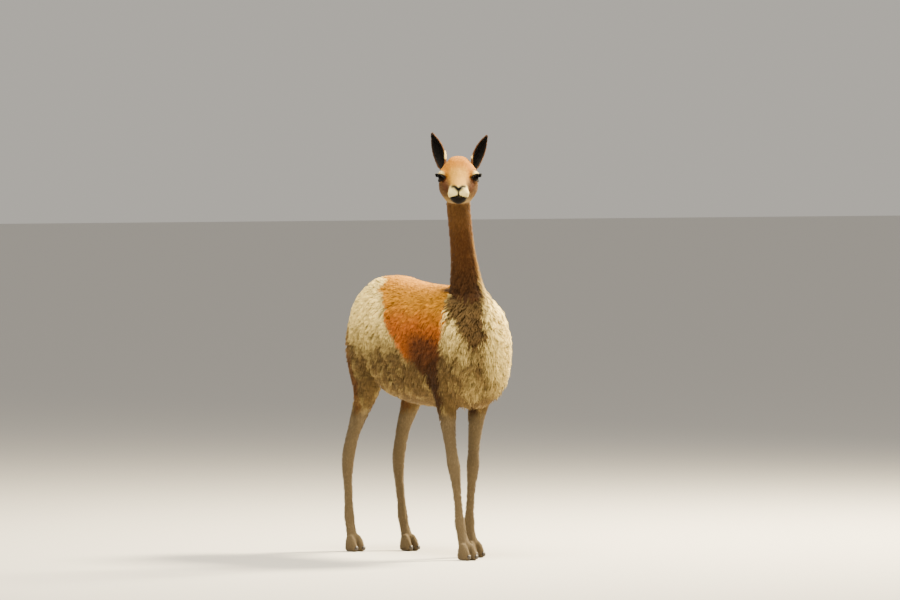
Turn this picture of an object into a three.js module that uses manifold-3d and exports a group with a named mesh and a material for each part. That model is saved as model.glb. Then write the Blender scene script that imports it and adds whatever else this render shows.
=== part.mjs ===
// A life-size vicuna that stands square on four feet and looks over its right shoulder.
// Millimetres. X is the animal's left, Y runs from nose to tail and Z is up, with the floor at 0.
// The torso runs along Y. The neck and legs are stacks of level rings. The head has a frame of its
// own, in which "ahead" runs from the eyes to the nose, "left" to its left and "up" is up.

import * as THREE from "three";
import { mergeVertices } from "three/addons/utils/BufferGeometryUtils.js";
import Module from "manifold-3d";

const wasm = await Module();
wasm.setup();

// Driving sizes
const GAP = 0.3; // left between nodes that touch
const HEAD_TURN = THREE.MathUtils.degToRad(-33); // the head looks to the animal's right
const EYES_AT = new THREE.Vector3(-74, -276, 1148); // the point midway between the eyes
const EYE_RADIUS = 18.5;
const EYE_SIDE = 42; // from the head's middle plane to an eyeball's centre
const LID_WALL = 3.4;
const EAR_LENGTH = 106;
const LOCK_SIDES = 6;
const COAT_PROUD = 10; // how far a clump of fleece stands over the core
const TAIL_LENGTH = 205;
const SEED = 20461;

// Torso core from chest to rump: y, top, bottom, half width
const TORSO = [
  [-350, 655, 600, 14],
  [-340, 706, 540, 56],
  [-305, 765, 488, 88],
  [-240, 806, 466, 108],
  [-150, 822, 456, 124],
  [-30, 826, 456, 136],
  [90, 836, 468, 139],
  [190, 850, 500, 137],
  [255, 830, 530, 120],
  [310, 798, 562, 92],
  [348, 742, 598, 58],
  [362, 690, 640, 16],
];
const TORSO_SQUARE = 2.25; // 2 is an ellipse, more is squarer
const TORSO_RINGS = 18;
const TORSO_SIDES = 20;

// Neck from its root in the chest to the skull: z, x, y, half width, half depth, turn in degrees
const NECK = [
  [640, 0, -212, 80, 96, 0],
  [700, 0, -238, 68, 96, 0],
  [760, -1, -232, 51, 80, 0],
  [820, -6, -218, 40, 60, -4],
  [880, -11, -213, 36, 49.5, -10],
  [940, -17, -210, 33.5, 42.5, -18],
  [1000, -23, -208, 33, 40, -25],
  [1060, -28, -206, 33, 40, -31],
  [1112, -29, -207, 30, 37, -33],
];
const NECK_RINGS = 14;
const NECK_SIDES = 14;

// Skull and muzzle from nape to lips: ahead, top, bottom, half width, squareness
const HEAD = [
  [-126, -2, -28, 8, 2],
  [-121, 24, -52, 27, 2],
  [-104, 48, -68, 42, 2.1],
  [-78, 61, -76, 52, 2.2],
  [-48, 63, -79, 56, 2.3],
  [-18, 54, -78, 57, 2.4],
  [8, 34, -76, 53, 2.4],
  [34, 12, -76, 42, 2.3],
  [60, -5, -77, 33.5, 2.3],
  [82, -18, -78, 30, 2.2],
  [97, -29, -72, 25, 2.1],
  [104, -44, -58, 9, 2],
];
const HEAD_RINGS = 20;
const HEAD_SIDES = 18;

// Leg centre lines and sizes down to the foot: z, x, y, half width, half depth.
// x is given for the left side and grows outwards.
const FORE_LEG = [
  [640, 66, -205, 36, 66],
  [580, 72, -200, 40, 64],
  [520, 67, -192, 36, 54],
  [470, 60, -184, 30, 41],
  [425, 57, -178, 24.5, 30],
  [375, 55, -175, 20, 24],
  [325, 53, -174, 17.5, 20.5],
  [285, 52, -175, 19, 22],
  [255, 51, -175, 17, 19.5],
  [215, 50, -173, 13, 15],
  [150, 49, -170, 12.5, 14.5],
  [108, 49, -169, 15.5, 18],
  [80, 49, -174, 14.5, 16.5],
  [50, 49, -184, 18, 21],
  [26, 49, -190, 17, 20],
];
const HIND_LEG = [
  [775, 50, 252, 24, 40],
  [735, 61, 248, 43, 60],
  [665, 78, 230, 50, 80],
  [590, 85, 220, 49, 84],
  [530, 86, 214, 42, 66],
  [480, 86, 224, 32, 46],
  [430, 85, 254, 25, 34],
  [380, 84, 286, 20.5, 28],
  [335, 84, 308, 18.5, 26],
  [298, 83, 322, 18, 25],
  [262, 82, 329, 16.5, 22],
  [215, 81, 329, 13.5, 17],
  [150, 80, 324, 12.5, 15.5],
  [108, 80, 320, 15.5, 18],
  [80, 80, 314, 14.5, 17],
  [50, 80, 304, 17, 20],
  [26, 80, 298, 16.5, 20],
];
const LEG_RINGS = 20;
const LEG_SIDES = 9;

// Each leg's foot is set ahead of or behind the rows above by a swing that grows down the leg
const LEGS = [
  { name: "fore_left", rows: FORE_LEG, side: 1, swing: 24, knee: 250 },
  { name: "fore_right", rows: FORE_LEG, side: -1, swing: -86, knee: 250 },
  { name: "hind_left", rows: HIND_LEG, side: 1, swing: -52, knee: 240 },
  { name: "hind_right", rows: HIND_LEG, side: -1, swing: 8, knee: 240 },
];
const SWING_TOP = 520; // a leg's swing starts at this height
const FOOT_TOP = 84;

// One toe from the sole up: z, half width, half length, ahead of the pastern's end
const TOE = [
  [0, 9.8, 27, 11],
  [6, 11.4, 31, 11],
  [20, 11.6, 29, 10],
  [36, 10.6, 22, 7],
  [50, 7, 13, 2],
];
const TOE_SPREAD = 13;
const NAIL = { half: [6.5, 15, 8.5], ahead: 33, up: 10 };

// Ear from root to tip, as shares of its length: along, half width, half thickness, bend inwards
const EAR = [
  [-0.08, 9, 7, 0],
  [0.1, 14, 9, 0],
  [0.32, 17.5, 9.5, 0.5],
  [0.55, 15.5, 8, 1.5],
  [0.78, 9.5, 5.5, 4],
  [0.94, 3.6, 2.8, 8],
  [1, 1, 1, 10],
];
const EAR_WALL = 2.4;
const EAR_ROOT = { ahead: -72, side: 49, up: 33 };
const EAR_LEAN = { out: 0.36, back: 0.2 };

// Tail core from its root down: share of the length, y, half width, half depth
const TAIL = [
  [0, 338, 22, 22],
  [0.18, 362, 27, 22],
  [0.42, 375, 27, 20],
  [0.7, 376, 22, 16],
  [0.92, 371, 13, 10],
  [1, 368, 4, 4],
];
const TAIL_TOP = 734;

let seed = SEED;
const random = () => {
  seed = (seed * 1664525 + 1013904223) % 4294967296;
  return seed / 4294967296;
};
const vary = (share) => 1 + share * (2 * random() - 1);

// Catmull-Rom through equally spaced rows; t runs from 0 to the last row's index
function spline(rows, t) {
  const i = Math.min(Math.max(Math.floor(t), 0), rows.length - 2);
  const f = t - i;
  const [a, b, c, d] = [-1, 0, 1, 2].map((k) => rows[Math.min(Math.max(i + k, 0), rows.length - 1)]);
  return b.map(
    (v, k) =>
      v +
      0.5 * f * (c[k] - a[k]) +
      0.5 * f * f * (2 * a[k] - 5 * v + 4 * c[k] - d[k]) +
      0.5 * f * f * f * (3 * v - a[k] - 3 * c[k] + d[k]),
  );
}

// A closed solid from a geometry, turned to face outwards
function solid(geometry) {
  const bare = geometry.index ? geometry.toNonIndexed() : geometry.clone();
  bare.deleteAttribute("normal");
  bare.deleteAttribute("uv");
  const merged = mergeVertices(bare, 1e-4);
  const triVerts = new Uint32Array(merged.index.array);
  const build = () =>
    new wasm.Manifold(
      new wasm.Mesh({ numProp: 3, vertProperties: merged.attributes.position.array, triVerts }),
    );
  const made = build();
  if (made.volume() > 0) return made;
  for (let i = 0; i < triVerts.length; i += 3)
    [triVerts[i + 1], triVerts[i + 2]] = [triVerts[i + 2], triVerts[i + 1]];
  return build();
}

// Joins a list of rings, each a list of as many points, into a closed solid with fan caps
function loft(rings) {
  const sides = rings[0].length;
  const points = rings.flat();
  const faces = [];
  const at = (i, k) => i * sides + (k % sides);
  for (let i = 0; i + 1 < rings.length; i++)
    for (let k = 0; k < sides; k++) {
      faces.push(at(i, k), at(i, k + 1), at(i + 1, k + 1));
      faces.push(at(i, k), at(i + 1, k + 1), at(i + 1, k));
    }
  const last = rings.length - 1;
  for (const [ring, flip] of [[0, true], [last, false]]) {
    const middle = new THREE.Vector3();
    rings[ring].forEach((p) => middle.addScaledVector(p, 1 / sides));
    const hub = points.push(middle) - 1;
    for (let k = 0; k < sides; k++) {
      const [a, b] = [at(ring, k), at(ring, k + 1)];
      faces.push(hub, flip ? b : a, flip ? a : b);
    }
  }
  const geometry = new THREE.BufferGeometry().setFromPoints(points);
  geometry.setIndex(faces);
  return solid(geometry);
}

// A ring of points round a centre: across and up are unit vectors, top and bottom are measured along up
function oval(centre, across, up, half, top, bottom, square, sides) {
  const power = (v) => Math.sign(v) * Math.abs(v) ** (2 / square);
  return Array.from({ length: sides }, (_, k) => {
    const angle = (2 * Math.PI * k) / sides;
    const rise = power(Math.sin(angle));
    return centre
      .clone()
      .addScaledVector(across, half * power(Math.cos(angle)))
      .addScaledVector(up, rise * (rise > 0 ? top : bottom));
  });
}

const X = new THREE.Vector3(1, 0, 0);
const Y = new THREE.Vector3(0, 1, 0);
const Z = new THREE.Vector3(0, 0, 1);
const steps = (count, last) => Array.from({ length: count }, (_, i) => (i * last) / (count - 1));

function torsoCore(grow = 0) {
  return loft(
    steps(TORSO_RINGS, TORSO.length - 1).map((t) => {
      const [y, top, bottom, half] = spline(TORSO, t);
      const ends = grow * (t === 0 ? -1 : t === TORSO.length - 1 ? 1 : 0);
      const rise = (top - bottom) / 2 + grow;
      const centre = new THREE.Vector3(0, y + ends, (top + bottom) / 2);
      return oval(centre, X, Z, half + grow, rise, rise, TORSO_SQUARE, TORSO_SIDES);
    }),
  );
}

function neckWhole(grow = 0) {
  return loft(
    steps(NECK_RINGS, NECK.length - 1).map((t) => {
      const [z, x, y, half, depth, turn] = spline(NECK, t);
      const angle = THREE.MathUtils.degToRad(turn);
      const across = X.clone().applyAxisAngle(Z, angle);
      const ahead = Y.clone().negate().applyAxisAngle(Z, angle);
      const size = depth + grow;
      return oval(new THREE.Vector3(x, y, z), across, ahead, half + grow, size, size, 2.1, NECK_SIDES);
    }),
  );
}

// The rows of one leg with its side and swing worked in
function legRows({ rows, side, swing }) {
  const foot = rows[rows.length - 1][0];
  return rows.map(([z, x, y, half, depth]) => {
    const share = THREE.MathUtils.clamp((SWING_TOP - z) / (SWING_TOP - foot), 0, 1);
    const late = share * share * (3 - 2 * share);
    return [z, side * x, y + swing * (0.4 * share + 0.6 * late), half, depth];
  });
}

function legWhole(leg, grow = 0) {
  const rows = legRows(leg);
  return loft(
    steps(LEG_RINGS, rows.length - 1).map((t) => {
      const [z, x, y, half, depth] = spline(rows, t);
      return oval(new THREE.Vector3(x, y, z), X, Y, half + grow, depth + grow, depth + grow, 2, LEG_SIDES);
    }),
  );
}

// The head's frame: ahead, left and up, from the point midway between the eyes
const AHEAD = new THREE.Vector3(Math.sin(HEAD_TURN), -Math.cos(HEAD_TURN), 0);
const LEFT = new THREE.Vector3(Math.cos(HEAD_TURN), Math.sin(HEAD_TURN), 0);
const inHead = (ahead, left, up) =>
  EYES_AT.clone().addScaledVector(AHEAD, ahead).addScaledVector(LEFT, left).addScaledVector(Z, up);

function skull(grow = 0) {
  return loft(
    steps(HEAD_RINGS, HEAD.length - 1).map((t) => {
      const [ahead, top, bottom, half, square] = spline(HEAD, t);
      const ends = grow * (t === 0 ? -1 : t === HEAD.length - 1 ? 1 : 0);
      const rise = (top - bottom) / 2 + grow;
      const centre = inHead(ahead + ends, 0, (top + bottom) / 2);
      return oval(centre, LEFT, Z, half + grow, rise, rise, square, HEAD_SIDES);
    }),
  );
}

// A rounded lump: half sizes along three unit vectors
function lump(centre, [u, v, w], [a, b, c], round = 8, high = 6) {
  const shape = new THREE.SphereGeometry(1, round, high);
  const frame = new THREE.Matrix4().makeBasis(
    u.clone().multiplyScalar(a),
    v.clone().multiplyScalar(b),
    w.clone().multiplyScalar(c),
  );
  frame.setPosition(centre);
  return solid(shape.applyMatrix4(frame));
}

const join = (list) => wasm.Manifold.union(list);
const HEAD_AXES = [AHEAD, LEFT, Z];

// The body with the largest volume, with any loose scrap dropped
const largest = (made) => made.decompose().sort((a, b) => b.volume() - a.volume())[0];

function eyeball(side, grow = 0) {
  const size = EYE_RADIUS + grow;
  return lump(inHead(0, side * EYE_SIDE, 0), HEAD_AXES, [size, size, size], 12, 8);
}

// Way the eye looks: mostly sideways, a little ahead
const gaze = (side) =>
  AHEAD.clone().multiplyScalar(0.5).addScaledVector(LEFT, 0.86 * side).normalize();

// A ball of lid round the eye, opened by an almond slot
function lids(side) {
  const centre = inHead(0, side * EYE_SIDE, 0);
  const size = EYE_RADIUS + LID_WALL;
  const out = gaze(side);
  const along = new THREE.Vector3().crossVectors(Z, out).normalize();
  const ball = lump(centre, [along, out, Z], [size * 1.1, size, size * 0.95], 12, 8);
  const brow = lump(
    inHead(-2, side * 50, 14),
    HEAD_AXES.map((v) => v.clone().applyAxisAngle(Z, -side * 0.3)),
    [23, 10, 9],
    10,
    6,
  );
  const slot = lump(centre.clone().addScaledVector(out, size), [along, out, Z], [17.5, 15, 10.5], 12, 6);
  return { form: join([ball, brow]), slot };
}

function head() {
  const made = [skull()];
  const cuts = [];
  for (const side of [-1, 1]) {
    const { form, slot } = lids(side);
    made.push(form);
    cuts.push(slot, eyeball(side, GAP));
    made.push(lump(inHead(84, side * 13, -50), HEAD_AXES, [19, 17, 15], 10, 6));
    made.push(lump(inHead(92, side * 10, -35), HEAD_AXES, [12, 9, 8], 8, 5));
    const flare = AHEAD.clone().applyAxisAngle(Z, -side * 0.5);
    const slit = new THREE.Vector3().crossVectors(flare, Z).normalize();
    const tilt = Z.clone().addScaledVector(slit, side * 0.7).normalize();
    const normal = new THREE.Vector3().crossVectors(tilt, flare).normalize();
    cuts.push(lump(inHead(102, side * 10, -35), [flare, tilt, normal], [6, 6.5, 2.6], 8, 4));
  }
  made.push(lump(inHead(78, 0, -69), HEAD_AXES, [19, 17, 12], 10, 6));
  made.push(lump(inHead(97, 0, -38), HEAD_AXES, [9, 11, 8], 8, 5));
  // The line of the mouth, cut only skin deep, and the split in the upper lip
  const mouth = new THREE.BoxGeometry(66, 90, 1.8);
  mouth.rotateY(0.14).translate(88, 0, -63);
  const split = new THREE.BoxGeometry(14, 1.6, 16).translate(106, 0, -51);
  const toHead = new THREE.Matrix4().makeBasis(AHEAD, LEFT, Z).setPosition(EYES_AT);
  const full = join(made);
  const deep = full.subtract(solid(mouth.applyMatrix4(toHead)));
  const inside = join([skull(-3.5), lump(inHead(74, 0, -58), HEAD_AXES, [30, 24, 18], 8, 6)]);
  const lipped = join([deep, full.intersect(inside)]);
  return largest(lipped.subtract(join([...cuts, solid(split.applyMatrix4(toHead))])));
}

// The ear is a leaf with its hollow scooped from the front
function ear(side) {
  const root = inHead(EAR_ROOT.ahead, side * EAR_ROOT.side, EAR_ROOT.up);
  const axis = Z.clone()
    .addScaledVector(LEFT, side * EAR_LEAN.out)
    .addScaledVector(AHEAD, -EAR_LEAN.back)
    .normalize();
  const front = AHEAD.clone().addScaledVector(LEFT, side * 0.45);
  front.addScaledVector(axis, -front.dot(axis)).normalize();
  const across = new THREE.Vector3().crossVectors(axis, front).normalize();
  const leaf = (shrink, shift, from) =>
    loft(
      steps(10, EAR.length - 1)
        .filter((t) => t >= from)
        .map((t) => {
          const [along, half, thick, bend] = spline(EAR, t);
          const centre = root
            .clone()
            .addScaledVector(axis, EAR_LENGTH * along)
            .addScaledVector(LEFT, -side * bend)
            .addScaledVector(front, shift - 0.25 * bend);
          const wide = Math.max(half - shrink, 0.4);
          const deep = Math.max(thick - shrink, 0.4);
          return oval(centre, across, front, wide, deep, deep, 2, 8);
        }),
    );
  const scoop = join([leaf(EAR_WALL, 2.5, 0.9), leaf(EAR_WALL, 9, 0.9)]);
  return leaf(0, 0, 0).subtract(scoop);
}

// Whether a point is inside the torso's core
function inTorso(p) {
  let [low, high] = [0, TORSO.length - 1];
  if (p.y <= TORSO[low][0] || p.y >= TORSO[high][0]) return false;
  for (let i = 0; i < 24; i++) {
    const mid = (low + high) / 2;
    if (spline(TORSO, mid)[0] < p.y) low = mid;
    else high = mid;
  }
  const [, top, bottom, half] = spline(TORSO, low);
  const across = Math.abs(p.x) / half;
  const up = Math.abs(p.z - (top + bottom) / 2) / ((top - bottom) / 2);
  return across ** TORSO_SQUARE + up ** TORSO_SQUARE < 1;
}

// Where a ray from inside the torso leaves its core
function onTorso(from, way) {
  let [low, high] = [0, 400];
  for (let i = 0; i < 22; i++) {
    const mid = (low + high) / 2;
    if (inTorso(from.clone().addScaledVector(way, mid))) low = mid;
    else high = mid;
  }
  return from.clone().addScaledVector(way, low);
}

// A flat lock of wool: a path that leaves its root along out and falls along fall, broad then tapered
function lock(root, out, fall, { length, width, thick, lift }, grow = 0) {
  const across = new THREE.Vector3().crossVectors(out, fall).normalize();
  const sink = 12;
  const rows = [
    [0, 0.55, 1],
    [0.3, 1, 1],
    [0.65, 0.8, 0.8],
    [1, 0.12, 0.2],
  ];
  const rings = rows.map(([t, wide, deep]) => {
    const centre = root
      .clone()
      .addScaledVector(out, -sink * (1 - t) ** 2 + lift * t * (1.5 - t))
      .addScaledVector(fall, length * (t - 0.12));
    const half = (width / 2) * wide + grow;
    const half2 = (thick / 2) * deep + grow;
    return oval(centre, across, out, half, half2, half2, 2, LOCK_SIDES);
  });
  return loft(rings);
}

// Locks of the bib: tiers down the chest, each spread round its front
function bibPlan() {
  const plan = [];
  for (let tier = 0; tier < 4; tier++) {
    const z = 685 - 56 * tier;
    const count = 7 + (tier % 2);
    for (let k = 0; k < count; k++) {
      const angle = THREE.MathUtils.degToRad(-92 + (184 * (k + 0.5)) / count + 5 * (random() - 0.5));
      const out = new THREE.Vector3(Math.sin(angle), -Math.cos(angle), 0);
      const root = onTorso(new THREE.Vector3(0, -215, z + 8 * (random() - 0.5)), out);
      const fall = new THREE.Vector3(0.1 * out.x, 0.12 + 0.1 * Math.abs(out.x), -1).normalize();
      const size = { length: (84 + 6 * tier) * vary(0.14), width: 54 * vary(0.1), thick: 17, lift: 15 * vary(0.3) };
      plan.push({ root, out, fall, size });
    }
  }
  return plan;
}

// Locks of the belly's fringe, along both sides of its lowest line
function bellyPlan() {
  const plan = [];
  for (const side of [-1, 1])
    for (let k = 0; k < 7; k++) {
      const y = -112 + 43 * k;
      const out = new THREE.Vector3(side * 0.72, 0, -0.7).normalize();
      const root = onTorso(new THREE.Vector3(0, y, 640), out);
      const fall = new THREE.Vector3(-side * 0.12, 0.35, -0.92).normalize();
      const flat = out.clone().addScaledVector(fall, -out.dot(fall)).normalize();
      const size = { length: 48 * vary(0.16), width: 50, thick: 14, lift: 6 };
      plan.push({ root, out: flat, fall, size });
    }
  return plan;
}

// Clumps of fleece over the flanks, shoulders and haunches, in staggered rows
function fleecePlan() {
  const plan = [];
  for (let row = 0; row < 7; row++)
    for (const side of [-1, 1])
      for (let k = 0; k < 4; k++) {
        const y = -200 + 80 * row + 24 * (random() - 0.5);
        const from = 52 + 27 * (k + 0.5 * (row % 2)) + 9 * (random() - 0.5);
        const angle = THREE.MathUtils.degToRad(from);
        const back = Math.max(0, (y - 250) / 60);
        const way = new THREE.Vector3(side * Math.sin(angle), back, Math.cos(angle)).normalize();
        const root = onTorso(new THREE.Vector3(0, Math.min(y, 270), 665), way);
        const fall = new THREE.Vector3(0, 0.62 * vary(0.5), -0.78);
        const lie = fall.addScaledVector(way, -fall.dot(way)).normalize();
        plan.push({ root, out: way, fall: lie, size: [48 * vary(0.14), 40 * vary(0.14)] });
      }
  return plan;
}

const BIB = bibPlan();
const BELLY = bellyPlan();
const FLEECE = fleecePlan();

function clump({ root, out, fall, size }, grow) {
  const across = new THREE.Vector3().crossVectors(out, fall).normalize();
  const centre = root.clone().addScaledVector(out, -6);
  const half = [size[0] + grow, COAT_PROUD + 6 + grow, size[1] + grow];
  return lump(centre, [fall, out, across], half, 6, 4);
}

// Everything that grows on the torso, kept clear of the neck and legs
function coat(grow, clear) {
  const pieces = [
    ...[...BIB, ...BELLY].map(({ root, out, fall, size }) => lock(root, out, fall, size, grow)),
    ...FLEECE.map((place) => clump(place, grow)),
  ];
  return join(pieces).subtract(clear);
}

// The tail's core with locks in tiers down its back and sides
function tail() {
  const core = loft(
    steps(8, TAIL.length - 1).map((t) => {
      const [share, y, half, depth] = spline(TAIL, t);
      return oval(new THREE.Vector3(0, y, TAIL_TOP - TAIL_LENGTH * share), X, Y, half, depth, depth, 2, 10);
    }),
  );
  const locks = [];
  for (let tier = 0; tier < 4; tier++)
    for (let k = 0; k < 3; k++) {
      const share = 0.12 + 0.19 * tier;
      const [, y, half, depth] = spline(TAIL, share * (TAIL.length - 1));
      const angle = THREE.MathUtils.degToRad((tier % 2 ? -80 : -58) + (tier % 2 ? 70 : 66) * k);
      const out = new THREE.Vector3(Math.sin(angle), Math.cos(angle), 0);
      const root = new THREE.Vector3(0.85 * half * out.x, y + 0.85 * depth * out.y, TAIL_TOP - TAIL_LENGTH * share);
      const fall = new THREE.Vector3(0.12 * out.x, 0.04, -1).normalize();
      const size = { length: 70 * vary(0.12), width: 40, thick: 11, lift: 9 };
      locks.push(lock(root, out, fall, size));
    }
  return join([core, ...locks]);
}

// A box of space between two heights, wide enough for the whole animal
function slab(from, to) {
  const box = new THREE.BoxGeometry(1200, 2000, to - from).translate(0, 0, (from + to) / 2);
  return solid(box);
}

const footRow = (leg) => {
  const rows = legRows(leg);
  return rows[rows.length - 1];
};

function toes(leg, grow = 0) {
  const [, x, y] = footRow(leg);
  return [-1, 1].map((side) =>
    loft(
      steps(5, TOE.length - 1).map((t, i) => {
        const [z, half, length, ahead] = spline(TOE, t);
        const centre = new THREE.Vector3(x + side * TOE_SPREAD, y - ahead, z - (i === 0 ? grow : 0));
        return oval(centre, X, Y, half + grow, length + grow, length + grow, 2.2, 8);
      }),
    ),
  );
}

function nail(leg, side) {
  const [, x, y] = footRow(leg);
  const centre = new THREE.Vector3(x + side * TOE_SPREAD, y - NAIL.ahead, NAIL.up);
  const axes = [X, Y.clone().addScaledVector(Z, -0.22).normalize(), Z.clone().addScaledVector(Y, 0.22).normalize()];
  return lump(centre, axes, NAIL.half, 8, 5);
}

const paint = {
  fawn: [0xc07f43, 0.9],
  cream: [0xe2d3b3, 0.92],
  neck: [0xb06f3a, 0.9],
  dark: [0x1b120d, 0.3],
  horn: [0x2c241d, 0.45],
};

const part = new THREE.Group();

function addNode(name, made, [colour, roughness]) {
  const { vertProperties, triVerts, numProp, numVert } = largest(made).getMesh();
  const at = new Float32Array(numVert * 3);
  for (let i = 0; i < numVert; i++) at.set(vertProperties.subarray(i * numProp, i * numProp + 3), 3 * i);
  const geometry = new THREE.BufferGeometry();
  geometry.setAttribute("position", new THREE.BufferAttribute(at, 3));
  geometry.setIndex(new THREE.BufferAttribute(new Uint32Array(triVerts), 1));
  geometry.computeVertexNormals();
  const mesh = new THREE.Mesh(geometry, new THREE.MeshStandardMaterial({ color: colour, roughness, metalness: 0 }));
  mesh.name = name;
  part.add(mesh);
}

// The torso comes first, and what grows from it is cut back to meet its surface
const limbs = join([neckWhole(GAP), ...LEGS.map((leg) => legWhole(leg, GAP))]);
const tailWhole = tail();
const torso = largest(join([torsoCore(), coat(0, limbs)]));
const torsoClear = join([torsoCore(GAP), coat(GAP, limbs)]);
const headWhole = head();
const headClear = skull(GAP);

addNode("torso", torso, paint.fawn);
addNode("neck", neckWhole().subtract(torsoClear).subtract(headClear), paint.neck);
addNode("head", headWhole, paint.fawn);
addNode("tail", tailWhole.subtract(torsoClear), paint.fawn);
for (const [word, side] of [["left", 1], ["right", -1]]) {
  addNode("eye_" + word, eyeball(side), paint.dark);
  addNode("ear_" + word, ear(side).subtract(headClear).subtract(neckWhole(GAP)), paint.fawn);
}
for (const leg of LEGS) {
  const whole = legWhole(leg);
  const upper = whole.subtract(torsoClear).subtract(slab(-10, leg.knee));
  const lower = whole.intersect(slab(FOOT_TOP, leg.knee - GAP));
  const foot = join([whole.intersect(slab(-10, FOOT_TOP - GAP)), ...toes(leg)]);
  const footClear = join([legWhole(leg, GAP), ...toes(leg, GAP)]);
  addNode("leg_" + leg.name + "_upper", upper, paint.fawn);
  addNode("leg_" + leg.name + "_lower", lower, paint.cream);
  addNode("foot_" + leg.name, foot, paint.cream);
  for (const [word, side] of [["outer", leg.side], ["inner", -leg.side]])
    addNode("nail_" + leg.name + "_" + word, nail(leg, side).subtract(footClear), paint.horn);
}

// The part's origin is on the floor under the middle of its outline
const middle = new THREE.Box3().setFromObject(part).getCenter(new THREE.Vector3());
part.position.set(-middle.x, -middle.y, 0);

export default part;
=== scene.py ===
import math

import bpy
import numpy as np
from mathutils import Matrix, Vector
from mathutils.kdtree import KDTree


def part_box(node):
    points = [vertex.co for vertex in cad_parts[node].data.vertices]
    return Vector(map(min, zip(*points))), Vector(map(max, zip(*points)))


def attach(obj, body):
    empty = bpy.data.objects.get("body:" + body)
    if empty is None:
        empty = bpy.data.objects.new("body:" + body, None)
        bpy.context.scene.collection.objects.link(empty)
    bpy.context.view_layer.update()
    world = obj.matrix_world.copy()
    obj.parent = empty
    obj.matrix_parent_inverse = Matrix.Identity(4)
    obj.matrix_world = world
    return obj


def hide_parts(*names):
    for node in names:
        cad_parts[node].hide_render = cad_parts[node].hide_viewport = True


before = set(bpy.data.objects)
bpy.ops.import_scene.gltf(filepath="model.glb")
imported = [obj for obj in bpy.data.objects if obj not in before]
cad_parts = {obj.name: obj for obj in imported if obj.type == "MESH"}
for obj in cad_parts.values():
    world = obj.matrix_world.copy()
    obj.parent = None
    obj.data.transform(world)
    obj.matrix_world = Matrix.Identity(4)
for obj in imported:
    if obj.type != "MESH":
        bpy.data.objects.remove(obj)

bl_info = {
    "name": "Vicuna",
    "version": (1, 0, 0),
    "blender": (4, 5, 0),
    "location": "View3D > Sidebar > Vicuna",
    "description": "Dresses a life-size vicuna: skin, eyes, lids, ears, nails and a coat of mesh tufts",
    "category": "Object",
}

# Millimetres in the animal's own frame: X is its left, Y runs from nose to tail, Z is up from the floor.
# The head's frame has its origin midway between the eyes: ahead to the nose, left, up.
MM = 0.001
EYES_AT = np.array([-74.0, -276.0, 1148.0])
HEAD_TURN = math.radians(-33)
AHEAD = np.array([math.sin(HEAD_TURN), -math.cos(HEAD_TURN), 0.0])
LEFT = np.array([math.cos(HEAD_TURN), math.sin(HEAD_TURN), 0.0])
UP = np.array([0.0, 0.0, 1.0])
EYE_RADIUS = 18.5
EYE_SIDE = 42.0
SEED = 20461
BODY = "root"
SIDES = {"left": 1, "right": -1}


def node_middle(node):
    """The middle of a node's box in the shared frame."""
    low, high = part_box(node)
    return (np.array(low) + np.array(high)) / 2


# What takes the animal's own frame to the shared one, found from the eyes
SHIFT = (node_middle("eye_left") + node_middle("eye_right")) / 2 - EYES_AT * MM
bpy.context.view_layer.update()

# Torso from chest to rump: y, top, bottom, half width
TORSO = [
    (-350, 655, 600, 14), (-340, 706, 540, 56), (-305, 765, 488, 88), (-240, 806, 466, 108),
    (-150, 822, 456, 124), (-30, 826, 456, 136), (90, 836, 468, 139), (190, 850, 500, 137),
    (255, 830, 530, 120), (310, 798, 562, 92), (348, 742, 598, 58), (362, 690, 640, 16),
]
TORSO_SQUARE = 2.25
TORSO_REACH = 380
# Neck from its root to the skull: z, x, y, half width, half depth, turn in degrees
NECK = [
    (640, 0, -212, 80, 96, 0), (700, 0, -238, 68, 96, 0), (760, -1, -232, 51, 80, 0),
    (820, -6, -218, 40, 60, -4), (880, -11, -213, 36, 49.5, -10), (940, -17, -210, 33.5, 42.5, -18),
    (1000, -23, -208, 33, 40, -25), (1060, -28, -206, 33, 40, -31), (1112, -29, -207, 30, 37, -33),
]
NECK_SQUARE = 2.1
# Skull and muzzle from nape to lips: ahead, top, bottom, half width, squareness
HEAD = [
    (-126, -2, -28, 8, 2), (-121, 24, -52, 27, 2), (-104, 48, -68, 42, 2.1), (-78, 61, -76, 52, 2.2),
    (-48, 63, -79, 56, 2.3), (-18, 54, -78, 57, 2.4), (8, 34, -76, 53, 2.4), (34, 12, -76, 42, 2.3),
    (60, -5, -77, 33.5, 2.3), (82, -18, -78, 30, 2.2), (97, -29, -72, 25, 2.1), (104, -44, -58, 9, 2),
]
# Leg centre lines and sizes: z, x, y, half width, half depth
FORE_LEG = [
    (640, 66, -205, 36, 66), (580, 72, -200, 40, 64), (520, 67, -192, 36, 54), (470, 60, -184, 30, 41),
    (425, 57, -178, 24.5, 30), (375, 55, -175, 20, 24), (325, 53, -174, 17.5, 20.5),
    (285, 52, -175, 19, 22), (255, 51, -175, 17, 19.5), (215, 50, -173, 13, 15),
    (150, 49, -170, 12.5, 14.5), (108, 49, -169, 15.5, 18), (80, 49, -174, 14.5, 16.5),
    (50, 49, -184, 18, 21), (26, 49, -190, 17, 20),
]
HIND_LEG = [
    (775, 50, 252, 24, 40), (735, 61, 248, 43, 60), (665, 78, 230, 50, 80), (590, 85, 220, 49, 84),
    (530, 86, 214, 42, 66), (480, 86, 224, 32, 46), (430, 85, 254, 25, 34), (380, 84, 286, 20.5, 28),
    (335, 84, 308, 18.5, 26), (298, 83, 322, 18, 25), (262, 82, 329, 16.5, 22), (215, 81, 329, 13.5, 17),
    (150, 80, 324, 12.5, 15.5), (108, 80, 320, 15.5, 18), (80, 80, 314, 14.5, 17), (50, 80, 304, 17, 20),
    (26, 80, 298, 16.5, 20),
]
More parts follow.
